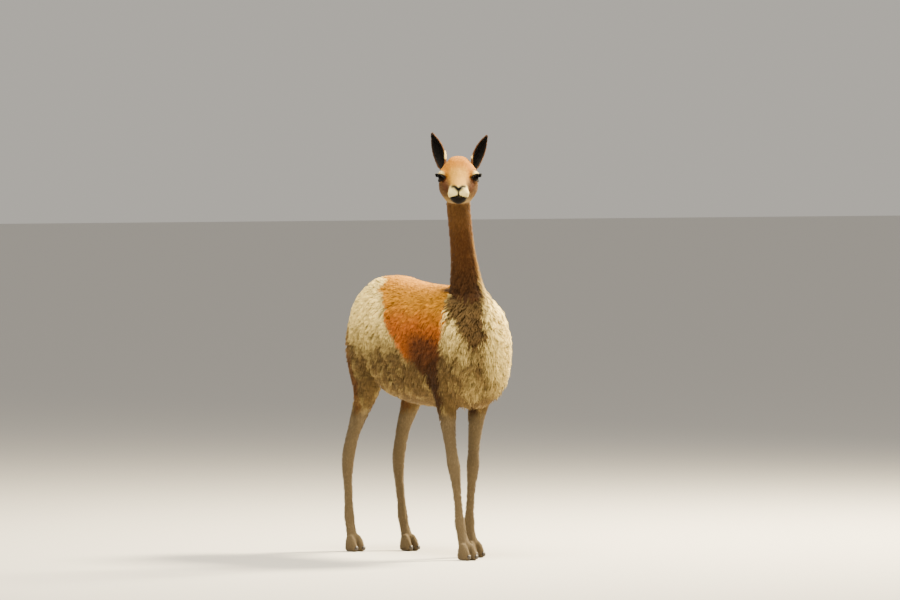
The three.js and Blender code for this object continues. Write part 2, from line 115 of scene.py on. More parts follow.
# Each leg: its rows, its side and how far its foot is set behind the rows
LEGS = {
    "fore_left": (FORE_LEG, 1, 24), "fore_right": (FORE_LEG, -1, -86),
    "hind_left": (HIND_LEG, 1, -52), "hind_right": (HIND_LEG, -1, 8),
}
# Feet are set fore or aft below this height, partly evenly and partly late
SWING_TOP = 520
SWING_EVEN, SWING_LATE = 0.4, 0.6
# One toe from the sole up: z, half width, half length, ahead of the pastern's end
TOE = [(0, 9.8, 27, 11), (6, 11.4, 31, 11), (20, 11.6, 29, 10), (36, 10.6, 22, 7), (50, 7, 13, 2)]
TOE_SPREAD = 13
TOE_SQUARE = 2.2
SOLE_RISE = 0.4
# Tail from its root: share of its length, y, half width, half depth
TAIL = [(0, 338, 22, 22), (0.18, 362, 27, 22), (0.42, 375, 27, 20), (0.7, 376, 22, 16),
        (0.92, 371, 13, 10), (1, 368, 4, 4)]
TAIL_TOP = 734
TAIL_LENGTH = 205
# The skin's tail stands further forward and is shorter than those rows
TAIL_FORWARD, TAIL_SHARE = 4, 0.93
# How far the skin lies inside those rows, by region
DEPTH = {"torso": 8, "neck": 4, "head": 2, "leg": 3, "tail": 9, "toe": 1.2}
# On a leg that depth grows with height: heights and factors
LEG_HEIGHTS = [260, 480, 640]
LEG_FACTORS = [0.6, 1.6, 2.2]
# Rings and sides of each form before they are fused
GRID = {
    "torso": (34, 40),
    "neck": (30, 28),
    "head": (34, 36),
    "leg": (44, 20),
    "toe": (10, 20),
    "tail": (20, 16),
}


def spline(rows, t):
    """Catmull-Rom through equally spaced rows, for an array of places."""
    rows = np.asarray(rows, float)
    t = np.atleast_1d(np.asarray(t, float))
    i = np.clip(t.astype(int), 0, len(rows) - 2)
    f = (t - i)[:, None]
    a, b, c, d = (rows[np.clip(i + k, 0, len(rows) - 1)] for k in (-1, 0, 1, 2))
    return b + 0.5 * f * ((c - a) + f * ((2 * a - 5 * b + 4 * c - d) + f * (3 * (b - c) + d - a)))


def sections(rows, count):
    """Columns of rows evenly spread along key rows."""
    return spline(rows, np.linspace(0, len(rows) - 1, count)).T


class Profile:
    """Key rows that can be read at any value of their first column."""

    def __init__(self, rows):
        dense = sections(rows, 500).T
        self.dense = dense[np.argsort(dense[:, 0])]

    def at(self, key):
        return [np.interp(key, self.dense[:, 0], column) for column in self.dense[:, 1:].T]


def leg_rows(name):
    """A leg's rows on its own side, with its foot set fore or aft."""
    rows, side, swing = LEGS[name]
    foot = rows[-1][0]
    made = []
    for z, x, y, half, depth in rows:
        share = min(max((SWING_TOP - z) / (SWING_TOP - foot), 0), 1)
        late = share * share * (3 - 2 * share)
        made.append((z, side * x, y + swing * (SWING_EVEN * share + SWING_LATE * late), half, depth))
    return made


def in_head(ahead, left, up):
    """Places in the animal's frame from ahead, left and up in the head's."""
    place = EYES_AT + np.multiply.outer(ahead, AHEAD) + np.multiply.outer(left, LEFT)
    return place + np.multiply.outer(up, UP)


def head_frame(points):
    """Points of the animal's frame as ahead, left and up."""
    offset = points - EYES_AT
    return np.stack([offset @ AHEAD, offset @ LEFT, offset @ UP], axis=-1)


def unit(v):
    return v / np.maximum(np.linalg.norm(v, axis=-1, keepdims=True), 1e-9)


def smooth(value, low, high):
    """0 below low, 1 above high and an S between them."""
    t = np.clip((value - low) / (high - low), 0, 1)
    return t * t * (3 - 2 * t)


def select_only(piece):
    bpy.ops.object.select_all(action="DESELECT")
    piece.select_set(True)
    bpy.context.view_layer.objects.active = piece


def read(items, name, width, kind=np.float32):
    """One value of every item of a mesh, in rows of a width."""
    values = np.empty(len(items) * width, kind)
    items.foreach_get(name, values)
    return values.reshape(-1, width)


def points_of(piece):
    """A mesh's points in the animal's frame, in millimetres."""
    return (read(piece.data.vertices, "co", 3).astype(float) - SHIFT) / MM


def move_points(piece, points):
    co = (np.asarray(points) * MM + SHIFT).astype(np.float32)
    piece.data.vertices.foreach_set("co", co.ravel())
    piece.data.update()


def normals_of(piece):
    return read(piece.data.vertices, "normal", 3).astype(float)


def apply(piece, kind, **settings):
    """Adds one modifier and applies it."""
    select_only(piece)
    made = piece.modifiers.new(kind.title(), kind)
    for name, value in settings.items():
        setattr(made, name, value)
    bpy.ops.object.modifier_apply(modifier=made.name)


def face_outward(piece):
    """Turns the faces of a closed piece outward and shades it smooth."""
    select_only(piece)
    bpy.ops.object.mode_set(mode="EDIT")
    bpy.ops.mesh.select_all(action="SELECT")
    bpy.ops.mesh.normals_make_consistent(inside=False)
    bpy.ops.object.mode_set(mode="OBJECT")
    bpy.ops.object.shade_smooth()


def nearest(points, chosen):
    """For each point, the number of the nearest of those chosen."""
    tree = KDTree(len(chosen))
    for k, point in enumerate(chosen):
        tree.insert(point, k)
    tree.balance()
    return np.array([tree.find(point)[1] for point in points])


def finish_piece(piece, name, material, slot, *nodes):
    """Names a piece, gives it its material, hangs it from the body and hides the nodes it takes the place
    of.
    """
    piece.name = piece.data.name = name
    piece.data.materials.clear()
    piece.data.materials.append(material)
    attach(piece, BODY)
    if nodes:
        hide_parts(*nodes)
    return piece


def oval(centre, across, up, half, rise, square, sides):
    """Rings of points round centres, as an array of rings by sides by three."""
    angle = 2 * np.pi * np.arange(sides) / sides
    power = 2 / np.reshape(square, (-1, 1))
    wide = np.sign(np.cos(angle)) * np.abs(np.cos(angle)) ** power
    tall = np.sign(np.sin(angle)) * np.abs(np.sin(angle)) ** power
    half, rise = np.reshape(half, (-1, 1)), np.reshape(rise, (-1, 1))
    across, up = np.reshape(across, (-1, 1, 3)), np.reshape(up, (-1, 1, 3))
    ring = np.reshape(centre, (-1, 1, 3)) + (half * wide)[..., None] * across
    return ring + (rise * tall)[..., None] * up


def loft(rings):
    """A closed form: a sphere's circles move onto the rings and its poles to the end rings' middles."""
    count, sides = rings.shape[:2]
    bpy.ops.object.select_all(action="DESELECT")
    bpy.ops.mesh.primitive_uv_sphere_add(segments=sides, ring_count=count + 1, radius=1)
    piece = bpy.context.object
    x, y, z = read(piece.data.vertices, "co", 3).T
    ring = np.rint(np.arccos(np.clip(z, -1, 1)) / np.pi * (count + 1)).astype(int) - 1
    side = np.rint(np.arctan2(y, x) / (2 * np.pi) * sides).astype(int) % sides
    placed = rings[np.clip(ring, 0, count - 1), side]
    placed[ring < 0] = rings[0].mean(axis=0)
    placed[ring >= count] = rings[-1].mean(axis=0)
    move_points(piece, placed)
    return piece


def torso_form(inset):
    rings, sides = GRID["torso"]
    y, top, bottom, half = sections(TORSO, rings)
    centre = np.stack([0 * y, y * (1 - inset / TORSO_REACH), (top + bottom) / 2], axis=-1)
    rise = np.maximum((top - bottom) / 2 - inset, 4)
    return loft(oval(centre, [1, 0, 0], UP, np.maximum(half - inset, 4), rise, TORSO_SQUARE, sides))


def neck_form(inset):
    rings, sides = GRID["neck"]
    z, x, y, half, depth, turn = sections(NECK, rings)
    turn = np.radians(turn)
    across = np.stack([np.cos(turn), np.sin(turn), 0 * turn], axis=-1)
    ahead = np.stack([np.sin(turn), -np.cos(turn), 0 * turn], axis=-1)
    centre = np.stack([x, y, z], axis=-1)
    return loft(oval(centre, across, ahead, half - inset, depth - inset, NECK_SQUARE, sides))


def head_form(inset):
    rings, sides = GRID["head"]
    ahead, top, bottom, half, square = sections(HEAD, rings)
    centre = in_head(ahead, 0 * ahead, (top + bottom) / 2)
    return loft(oval(centre, LEFT, UP, half - inset, (top - bottom) / 2 - inset, square, sides))


def leg_form(name, inset):
    rings, sides = GRID["leg"]
    z, x, y, half, depth = sections(leg_rows(name), rings)
    inset = np.interp(z, LEG_HEIGHTS, np.multiply(LEG_FACTORS, inset))
    centre = np.stack([x, y, z], axis=-1)
    return loft(oval(centre, [1, 0, 0], [0, 1, 0], half - inset, depth - inset, 2, sides))


def toe_forms(name, inset):
    rings, sides = GRID["toe"]
    _, x, y, _, _ = leg_rows(name)[-1]
    z, half, length, ahead = sections(TOE, rings)
    made = []
    for side in (-1, 1):
        centre = np.stack([0 * z + x + side * TOE_SPREAD, y - ahead, z + SOLE_RISE], axis=-1)
        rim = oval(centre, [1, 0, 0], [0, 1, 0], half - inset, length - inset, TOE_SQUARE, sides)
        made.append(loft(rim))
    return made


def tail_form(inset):
    rings, sides = GRID["tail"]
    share, y, half, depth = sections(TAIL, rings)
    centre = np.stack([0 * y, y - TAIL_FORWARD, TAIL_TOP - TAIL_SHARE * TAIL_LENGTH * share], axis=-1)
    half, depth = np.maximum(half - inset, 3), np.maximum(depth - inset, 3)
    return loft(oval(centre, [1, 0, 0], [0, 1, 0], half, depth, 2, sides))


# Moves that shape the head: place, reach and push, each as ahead, left and up. A place off the middle
# stands for both sides.
HEAD_MOVES = [
    ((-2, 52, 20), (24, 12, 8), (1, 4, 3)),  # brow
    ((26, 38, -6), (15, 9, 12), (0, -4, 0)),  # hollow ahead of the eye
    ((-38, 52, -36), (28, 12, 24), (0, 3, 0)),  # cheek
    ((-36, 50, 22), (16, 10, 14), (0, -3, 0)),  # temple
    ((-44, 40, 48), (34, 14, 16), (0, -6, -1)),  # side of the crown
    ((44, 0, 12), (40, 9, 9), (0, 0, 2.5)),  # bridge of the nose
    ((56, 33, -44), (18, 9, 15), (0, -3.5, 0)),  # side of the muzzle
    ((86, 22, -47), (13, 9, 11), (3, 5.5, 0)),  # pad of the upper lip
    ((98, 11, -32), (8, 7, 7), (3, 2, 2)),  # wing of the nostril
    ((84, 0, -76), (15, 16, 7), (2, 0, -2)),  # chin
    ((-60, 30, -70), (40, 14, 14), (0, 3, -3)),  # angle of the jaw
]
# The muzzle is blunt, so the ahead axis counts for less where distance to these lines is taken
BLUNT = np.array([0.3, 1.0, 1.0])
NOSTRIL = np.array([(94, 18.5, -26), (98, 12, -26.5), (102, 6, -31), (104, 1, -36)]) * BLUNT
PHILTRUM = np.array([(107, 0, -36), (107, 0, -44), (105, 0, -54)]) * BLUNT
MOUTH = np.array([(105, 0, -54), (100, 13, -58), (88, 24, -60), (72, 29, -62), (56, 31, -64)]) * BLUNT
# Grooves cut along those lines: line, half width and depth
GROOVES = [(NOSTRIL, 3.2, 6.5), (PHILTRUM, 1.8, 2.2), (MOUTH, 1.9, 2.8)]
# How far ahead the grooves start and reach their depth, in that same measure
GROOVED_FROM, GROOVED_FULL = 12, 18
# The head's moves work ahead of and above these
MOVED_FROM, MOVED_ABOVE = -140, -100


def to_line(points, line):
    """Distance from points to a bent line."""
    line = np.asarray(line, float)
    best = np.full(len(points), np.inf)
    for a, b in zip(line[:-1], line[1:]):
        way = b - a
        share = np.clip((points - a) @ way / (way @ way), 0, 1)
        best = np.minimum(best, np.linalg.norm(points - a - share[:, None] * way, axis=1))
    return best


def mirrored(points):
    """Head points folded onto the left side."""
    return np.stack([points[:, 0], np.abs(points[:, 1]), points[:, 2]], axis=-1)


def shape_head(piece):
    """Moves the skin to the head's finer forms, wraps the eyes and cuts the grooves of the muzzle."""
    points = points_of(piece)
    local = head_frame(points)
    near = (local[:, 0] > MOVED_FROM) & (local[:, 2] > MOVED_ABOVE)
    p = local[near]
    side = np.where(p[:, 1] < 0, -1.0, 1.0)
    for place, reach, push in HEAD_MOVES:
        folded = mirrored(p)
        weight = np.exp(-(((folded - place) / reach) ** 2).sum(axis=1))
        p[:, 0] += weight * push[0]
        p[:, 1] += weight * push[1] * side
        p[:, 2] += weight * push[2]
    local[near] = p
    move_points(piece, in_head(local[:, 0], local[:, 1], local[:, 2]))
    wrap_eyes(piece)
    normals = normals_of(piece)
    points = points_of(piece)
    local = mirrored(head_frame(points)) * BLUNT
    front = smooth(local[:, 0], GROOVED_FROM, GROOVED_FULL)
    groove = sum(depth * np.exp(-((to_line(local, line) / wide) ** 2)) for line, wide, depth in GROOVES)
    points -= normals * (front * groove)[:, None]
    move_points(piece, points)


# Half angles of the eye's opening, in degrees: across, up and down, and how far its forward corner dips
EYE_ACROSS, EYE_RISE, EYE_DROP = 60, 27, 31
EYE_DIP = 6
# An eye's gaze, ahead and out
GAZE_AHEAD, GAZE_OUT = 0.5, 0.86


def eye_frame(side):
    """An eye's middle, its gaze, the way to its forward corner and up."""
    gaze = unit(GAZE_AHEAD * AHEAD + GAZE_OUT * side * LEFT)
    return in_head(0, side * EYE_SIDE, 0), gaze, unit(AHEAD - gaze * (AHEAD @ gaze)), UP


def eye_ring(side, scale, angle, radius):
    """Points round an eye at angles round its opening, which is at a scale of 1."""
    middle, gaze, forward, up = eye_frame(side)
    across = np.radians(EYE_ACROSS) * np.cos(angle) * scale
    tall = np.radians(np.where(np.sin(angle) > 0, EYE_RISE, EYE_DROP)) * np.sin(angle) * scale
    tall = tall - np.radians(EYE_DIP) * np.maximum(np.cos(angle), 0) ** 2
    way = np.outer(np.cos(across) * np.cos(tall), gaze) + np.outer(np.sin(across) * np.cos(tall), forward)
    way += np.outer(np.sin(tall), up)
    return middle + way * np.reshape(radius, (-1, 1))


def eye_scale(points, side):
    """How far each point lies from the eye's middle, and its scale, 1 at the opening's edge."""
    middle, gaze, forward, up = eye_frame(side)
    offset = points - middle
    far = np.linalg.norm(offset, axis=1)
    across = np.degrees(np.arctan2(offset @ forward, offset @ gaze))
    tall = np.degrees(np.arcsin(np.clip(offset @ up / far, -1, 1)))
    tall = tall + EYE_DIP * smooth(across, 0, EYE_ACROSS)
    return far, np.hypot(across / EYE_ACROSS, tall / np.where(tall > 0, EYE_RISE, EYE_DROP))


# How the skin wraps an eyeball: its reach, how far it stands over the ball, how far it blends out, how deep
# it sinks in the opening, and at which scales of the opening it starts and ends to rise and lets go
WRAP_REACH, WRAP_OVER, WRAP_BLEND, WRAP_SINK = 45, 2.2, 3, 3.5
WRAP_START, WRAP_END, WRAP_FREE = 1.18, 1.36, 3.2


def wrap_eyes(piece):
    """Draws the skin over each eyeball and sinks it inside the opening."""
    points = points_of(piece)
    for side in (-1, 1):
        middle = eye_frame(side)[0]
        far, scale = eye_scale(points, side)
        near = far < WRAP_REACH
        over = EYE_RADIUS + WRAP_OVER
        eased = over + (far - over + WRAP_BLEND).clip(0) ** 2 / (4 * WRAP_BLEND)
        target = np.where((far < over + WRAP_BLEND) & (scale <= WRAP_FREE), eased, far)
        share = smooth(scale, WRAP_START, WRAP_END)
        radius = share * target + (1 - share) * np.minimum(far, EYE_RADIUS - WRAP_SINK)
        moved = middle + (points - middle) * (radius / far)[:, None]
        points[near] = moved[near]
    move_points(piece, points)


def fused_forms(grain):
    """The body's forms, each inside its node by the coat's depth, fused into one closed surface."""
    forms = [torso_form(DEPTH["torso"]), neck_form(DEPTH["neck"]), head_form(DEPTH["head"])]
    forms.append(tail_form(DEPTH["tail"]))
    for name in LEGS:
        forms.append(leg_form(name, DEPTH["leg"]))
        forms += toe_forms(name, DEPTH["toe"])
    skin = forms[0]
    select_only(skin)
    for form in forms:
        form.select_set(True)
    bpy.ops.object.join()
    apply(skin, "REMESH", mode="VOXEL", voxel_size=grain, adaptivity=0)
    return skin


def apply_where(piece, chosen, kind, **settings):
    """Applies one modifier to the chosen corners of a piece."""
    group = piece.vertex_groups.new(name="chosen")
    group.add(np.flatnonzero(chosen).tolist(), 1.0, "REPLACE")
    apply(piece, kind, vertex_group="chosen", **settings)
    piece.vertex_groups.clear()


# Rounds of smoothing all over, and where neck and thighs meet the trunk, between two heights
ROUNDS, FOLD_ROUNDS = 8, 40
FOLDS_LOW, FOLDS_HIGH = 560, 900
# The share of triangles kept, but for the head, from its nape and throat on, and the feet
THINNED = 0.36
NAPE, THROAT, FEET_TOP = -118, -92, 95
# The face in the head's frame: its back, foot and top
FACE_BACK, FACE_FOOT, FACE_TOP = -42, -84, 48


def thin_out(skin):
    """Fewer triangles all over but on the head and feet."""
    points = points_of(skin)
    local = head_frame(points)
    fine = (local[:, 0] > NAPE) & (local[:, 2] > THROAT) | (points[:, 2] < FEET_TOP)
    apply_where(skin, ~fine, "DECIMATE", ratio=THINNED, vertex_group_factor=10)


def refine_face(skin):
    """Splits the face's quads and evens them out, for its lids, nostrils and lips."""
    select_only(skin)
    bpy.ops.object.mode_set(mode="EDIT")
    bpy.ops.mesh.select_all(action="DESELECT")
    bpy.ops.object.mode_set(mode="OBJECT")
    local = head_frame(points_of(skin))
    face = (local[:, 0] > FACE_BACK) & (local[:, 2] > FACE_FOOT) & (local[:, 2] < FACE_TOP)
    skin.data.polygons.foreach_set("select", [all(face[i] for i in f.vertices) for f in skin.data.polygons])
    bpy.ops.object.mode_set(mode="EDIT")
    bpy.ops.mesh.select_mode(type="FACE")
    bpy.ops.mesh.subdivide(number_cuts=1, quadcorner="INNERVERT")
    bpy.ops.mesh.vertices_smooth(factor=0.5, repeat=3)
    bpy.ops.object.mode_set(mode="OBJECT")


def skin_body(grain):
    """The whole body in one skin, smoothest where the neck and thighs meet the trunk, and unwrapped."""
    skin = fused_forms(grain)
    apply(skin, "SMOOTH", factor=0.5, iterations=ROUNDS)
    height = points_of(skin)[:, 2]
    folds = (height > FOLDS_LOW) & (height < FOLDS_HIGH)
    apply_where(skin, folds, "SMOOTH", factor=0.5, iterations=FOLD_ROUNDS)
    thin_out(skin)
    refine_face(skin)
    shape_head(skin)
    bpy.ops.object.shade_smooth()
    bpy.ops.object.mode_set(mode="EDIT")
    bpy.ops.mesh.select_all(action="SELECT")
    bpy.ops.uv.smart_project(angle_limit=math.radians(66), island_margin=0.001)
    bpy.ops.object.mode_set(mode="OBJECT")
    skin.data.uv_layers.active.name = "OFBake"
    return skin


def ball(centre, radius, segments=48, rings=32):
    bpy.ops.object.select_all(action="DESELECT")
    place = centre * MM + SHIFT
    bpy.ops.mesh.primitive_uv_sphere_add(
        segments=segments, ring_count=rings, radius=radius * MM, location=place
    )
    bpy.ops.object.transform_apply(location=True, rotation=True, scale=True)
    bpy.ops.object.shade_smooth()
    return bpy.context.object


# The way the left eye looks and the way to its forward corner, as ahead, left and up
EYE_GAZE = unit(np.array([GAZE_AHEAD, GAZE_OUT, 0.0]))
EYE_FORWARD = np.array([EYE_GAZE[1], -EYE_GAZE[0], 0.0])
# Lines on the head in its own frame: a dark line runs down from the eye, a pale one over it
TEAR = [(22, 45, 1), (24, 45, -13), (34, 42, -24), (50, 36, -34)]
BROW = [(-20, 60, 13), (0, 61, 17), (14, 56, 16), (26, 48, 10)]

# Where the fawn saddle ends towards the haunch and belly: y, then how far round from the back's middle,
# in metres
SADDLE_EDGE = [
    (-0.40, 0.60), (-0.178, 0.60), (-0.170, 0.40), (-0.15, 0.345), (-0.065, 0.300), (0.030, 0.225),
    (0.07, 0.16), (0.14, 0.07), (0.226, 0.005), (0.40, 0.0),
]
# Where it ends towards the chest: how far round from the back's middle, then -y, in metres
SADDLE_FRONT = [
    (0.0, 0.19), (0.087, 0.208), (0.16, 0.245), (0.243, 0.224), (0.30, 0.216), (0.36, 0.207), (0.45, 0.20),
    (0.60, 0.19),
]
# The brown tongue down the chest, partly painted shade: z, then its half width and how far right of the
# middle it lies, in metres
TONGUE_WIDTH = [(0.62, 0.0), (0.665, 0.020), (0.72, 0.039), (0.80, 0.056)]
TONGUE_SHIFT = [(0.62, 0.050), (0.66, 0.047), (0.72, 0.038), (0.80, 0.018)]
# Where the neck's pale edge begins: z, then how far towards the animal's left and chest, in metres
# That edge is partly paler hair and partly painted light where the key lamp falls on the neck
NECK_LIT_FRINGE = [(0.70, 0.165), (0.78, 0.152), (0.86, 0.138), (0.955, 0.124), (1.06, 0.122)]
# The dark line down the back of the thigh: z, then y, in metres
THIGH_LINE = [(0.40, 0.268), (0.45, 0.232), (0.53, 0.235), (0.62, 0.260), (0.70, 0.274), (0.80, 0.280)]


def linear(code):
    """A colour written as six hexadecimal digits, in linear light."""
    parts = [int(code[i:i + 2], 16) / 255 for i in (0, 2, 4)]
    return tuple(v / 12.92 if v <= 0.04045 else ((v + 0.055) / 1.055) ** 2.4 for v in parts)


class Field:
    """A socket that takes arithmetic: numbers go through Math, vectors and colours through Vector Math."""

    def __init__(self, shade, socket):
        self.shade = shade
        self.socket = socket

    def sum(self, operation, *values):
        wide = any(isinstance(v, Field) and v.socket.type != "VALUE" for v in (self, *values))
        if wide and operation == "MULTIPLY" and not isinstance(values[0], Field):
            scaled = [self, None, None, values[0]]
            return self.shade.node("ShaderNodeVectorMath", {"operation": "SCALE"}, scaled)
        kind = "ShaderNodeVectorMath" if wide else "ShaderNodeMath"
        return self.shade.node(kind, {"operation": operation}, list((self, *values)))

    def __add__(self, other):
        return self.sum("ADD", other)

    __radd__ = __add__

    def __mul__(self, other):
        return self.sum("MULTIPLY", other)

    __rmul__ = __mul__

    def __sub__(self, other):
        return self.sum("SUBTRACT", other)

    def __rsub__(self, other):
        return self * -1.0 + other

    def __truediv__(self, other):
        return self.sum("DIVIDE", other)

    def __abs__(self):
        return self.sum("ABSOLUTE")

    def least(self, other):
        return self.sum("MINIMUM", other)

    def most(self, other):
        return self.sum("MAXIMUM", other)

    def step(self, low, high):
        """0 below low, 1 above high, smooth between, or the other way round where low is the greater."""
        inputs = {"Value": self, "From Min": low, "From Max": high}
        return self.shade.node("ShaderNodeMapRange", {"interpolation_type": "SMOOTHSTEP"}, inputs)

    def dot(self, way):
        settings = {"operation": "DOT_PRODUCT"}
        return self.shade.node("ShaderNodeVectorMath", settings, [self, tuple(way)], "Value")

    def length(self):
        return self.shade.node("ShaderNodeVectorMath", {"operation": "LENGTH"}, [self], "Value")

    def curve(self, stops):
        """A value read from a bent line through stops, each a place and a height below 1."""
        low, high = stops[0][0], stops[-1][0]
        share = (self - low) / (high - low)
        grey = [((at - low) / (high - low), (v, v, v, 1)) for at, v in stops]
        return self.shade.node("ShaderNodeValToRGB", {"stops": grey}, [share])


class Shade:
    """A material under construction, with one method that adds any node."""

    def __init__(self, name, constants):
        self.hues = bpy.context.scene.vicuna_colours
        self.material = bpy.data.materials.new(name)
        self.material.use_nodes = True
        self.tree = self.material.node_tree
        self.shader = self.tree.nodes["Principled BSDF"]
        for socket, value in constants.items():
            self.shader.inputs[socket].default_value = value

    def node(self, kind, settings, inputs, output=None):
        made = self.tree.nodes.new(kind)
        for name, value in settings.items():
            if name == "stops":
                ramp = made.color_ramp.elements
                while len(ramp) < len(value):
                    ramp.new(1.0)
                for element, (at, colour) in zip(ramp, value):
                    element.position = at
                    element.color = colour
            else:
                setattr(made, name, value)
        pairs = inputs.items() if isinstance(inputs, dict) else enumerate(inputs)
        for name, value in pairs:
            if isinstance(value, Field):
                self.tree.links.new(value.socket, made.inputs[name])
            elif value is not None:
                made.inputs[name].default_value = value
        shown = [s for s in made.outputs if s.enabled]
        return Field(self, made.outputs[output] if output else shown[0])

    def feed(self, fields):
        """Links fields to the shader's sockets of those names."""
        for name, field in fields.items():
            self.tree.links.new(field.socket, self.shader.inputs[name])
        return self.material

    def attribute(self, name, output="Fac"):
        return self.node("ShaderNodeAttribute", {"attribute_name": name}, [], output)

    def place(self):
        """The place in the shared frame, as every piece's origin is the world's."""
        return self.node("ShaderNodeTexCoord", {}, [], "Object")

    def mix(self, first, second, factor):
        """Two colours mixed, each a field or the name of one of the animal's colours."""
        pair = [v if isinstance(v, Field) else (*getattr(self.hues, v), 1) for v in (first, second)]
        settings = {"data_type": "RGBA", "clamp_factor": True}
        return self.node("ShaderNodeMix", settings, {0: factor, 6: pair[0], 7: pair[1]})

    def tone(self, colour, factor):
        """A colour made darker or lighter by a field."""
        grey = self.node("ShaderNodeCombineXYZ", {}, [factor, factor, factor])
        return self.node("ShaderNodeVectorMath", {"operation": "MULTIPLY"}, [colour, grey])

    def noise(self, place, scale, detail=2.0, roughness=0.5):
        """Noise that runs from about -0.5 to 0.5."""
        inputs = {"Vector": place, "Scale": scale, "Detail": detail, "Roughness": roughness}
        return self.node("ShaderNodeTexNoise", {}, inputs) - 0.5

    def split(self, vector):
        return [self.node("ShaderNodeSeparateXYZ", {}, [vector], axis) for axis in "XYZ"]

    def bump(self, height, strength, distance):
        inputs = {"Strength": strength, "Distance": distance, "Height": height}
        return self.node("ShaderNodeBump", {}, inputs)

    def near(self, place, line, width):
        """1 on a bent line given in millimetres, 0 at a width from it, in metres."""
        best = None
        for a, b in zip(line[:-1], line[1:]):
            a, b = np.array(a) * MM, np.array(b) * MM
            offset = place - tuple(a)
            share = (offset.dot((b - a) / ((b - a) @ (b - a)))).most(0.0).least(1.0)
            way = self.node("ShaderNodeCombineXYZ", {}, [share * float(v) for v in b - a])
            distance = (offset - way).length()
            best = distance if best is None else best.least(distance)
        return best.step(width, 0.35 * width)


def markings(shade, shared):
    """The coat's colours at a place in the shared frame, the same for the skin and every tuft."""
    place = shared - tuple(SHIFT)
    x, y, z = shade.split(place)
    across = abs(x)
    rough = shade.noise(place, 24.0, 3.0)
    fine = shade.noise(place, 110.0, 2.0)
    from_back = across + (0.80 - z).most(0.0) + rough * 0.05 + fine * 0.02
    edge = (y + rough * 0.03).curve(SADDLE_EDGE)
    front = from_back.curve(SADDLE_FRONT)
    behind_chest = (y + front + rough * 0.03 + fine * 0.02).step(-0.008, 0.010)
    on_saddle = (edge - from_back).step(-0.014, 0.014) * behind_chest

    # Pale wool of the haunch, belly and chest, greyer in patches and lower down, where the grey is painted
    # shade
    # The chest's side towards the key lamp stays cream as painted light; elsewhere the chest's grey is
    # painted shade
    towards_lit_side = x * 0.84 - y * 0.54
    painted_light = (towards_lit_side + rough * 0.05).step(0.150, 0.205) * z.step(0.51, 0.60)
    grey = (z.step(0.76, 0.59) + rough * 1.1 + fine * 0.4) * (1.0 - painted_light * 0.85)
    pale = shade.mix("cream", "grey_wool", grey)

    # Fawn saddle that deepens down the flank to a dark stripe behind the shoulder; it is painted paler on
    # the lit left side
    deep = (from_back + rough * 0.04).step(0.10, 0.22) * (1.0 - x.step(0.0, 0.08) * 0.65)
    saddle = shade.mix("fawn", "cinnamon", deep)
    dark = (from_back - rough * 0.08).step(0.19, 0.26) * y.step(-0.03, -0.12)
    # Lower down, between chest and belly, the stripe turns to the darker tongue colour as painted shade in
    # the fold
    band = shade.mix("stripe", "tongue", z.step(0.66, 0.55))
    saddle = shade.mix(saddle, band, dark)
    paint = shade.mix(pale, saddle, on_saddle)

    # Dark line down the back of the thigh, legs and tail
    line = abs(y - z.curve(THIGH_LINE) + rough * 0.03).step(0.022, 0.010)
    line = line * across.step(0.05, 0.065) * z.step(0.41, 0.46) * z.step(0.72, 0.68)
    paint = shade.mix(paint, "stripe", line * 0.65)
    # Lower legs greyish brown: their own colour, darkened further as painted shade under the body
    shin = (z + rough * 0.05).step(0.455, 0.41)
    paint = shade.mix(paint, "shin", shin * (1.0 - line))
    tail = y.step(0.336, 0.350) * z.step(0.50, 0.53) * across.step(0.052, 0.040)
    paint = shade.mix(paint, "neck", tail)

    # Brown neck, with a ragged tongue down the chest; the tongue and the neck's darker foot are partly
    # painted shade
    behind = (y + (z - 0.80) * 0.25 + rough * 0.03).step(-0.135, -0.155).most(z.step(0.84, 0.88))
    floor = (across - 0.032).most(0.0) * 1.2 + (-0.285 - y).most(0.0) * 0.9
    brown = (z + rough * 0.03 + fine * 0.02 - floor).step(0.768, 0.790) * behind
    aside = abs(x + z.curve(TONGUE_SHIFT)) + rough * 0.05 + fine * 0.05
    tongue = (z.curve(TONGUE_WIDTH) - aside).step(-0.004, 0.010) * y.step(-0.19, -0.22)
    brown = brown.most(tongue * z.step(0.63, 0.66) * 0.95)
    nape = (y + 0.21).step(0.0, 0.045)
    neck = shade.mix("neck", "nape", nape.most(z.step(0.94, 1.08)) * 0.7)
    # Darker towards the foot of the neck, in the tongue's colour: partly painted shade under the neck
    neck = shade.mix(neck, "tongue", z.step(0.94, 0.80) * 0.85)
    # Pale edge down the neck's lit side: painted light, partly paler hair
    fringe = (towards_lit_side - z.curve(NECK_LIT_FRINGE) + fine * 0.02).step(-0.004, 0.012)
    lit_edge_hue = shade.mix("cream", "fringe", z.step(0.77, 0.88))
    neck = shade.mix(neck, lit_edge_hue, fringe * y.step(-0.17, -0.21) * 0.85)
    throat = z.step(0.99, 1.07) * (y + 0.21).step(0.01, -0.03)
    neck = shade.mix(neck, "cheek", throat * 0.7)
    paint = shade.mix(paint, neck, brown)
    return face_markings(shade, place, paint, rough, fine)


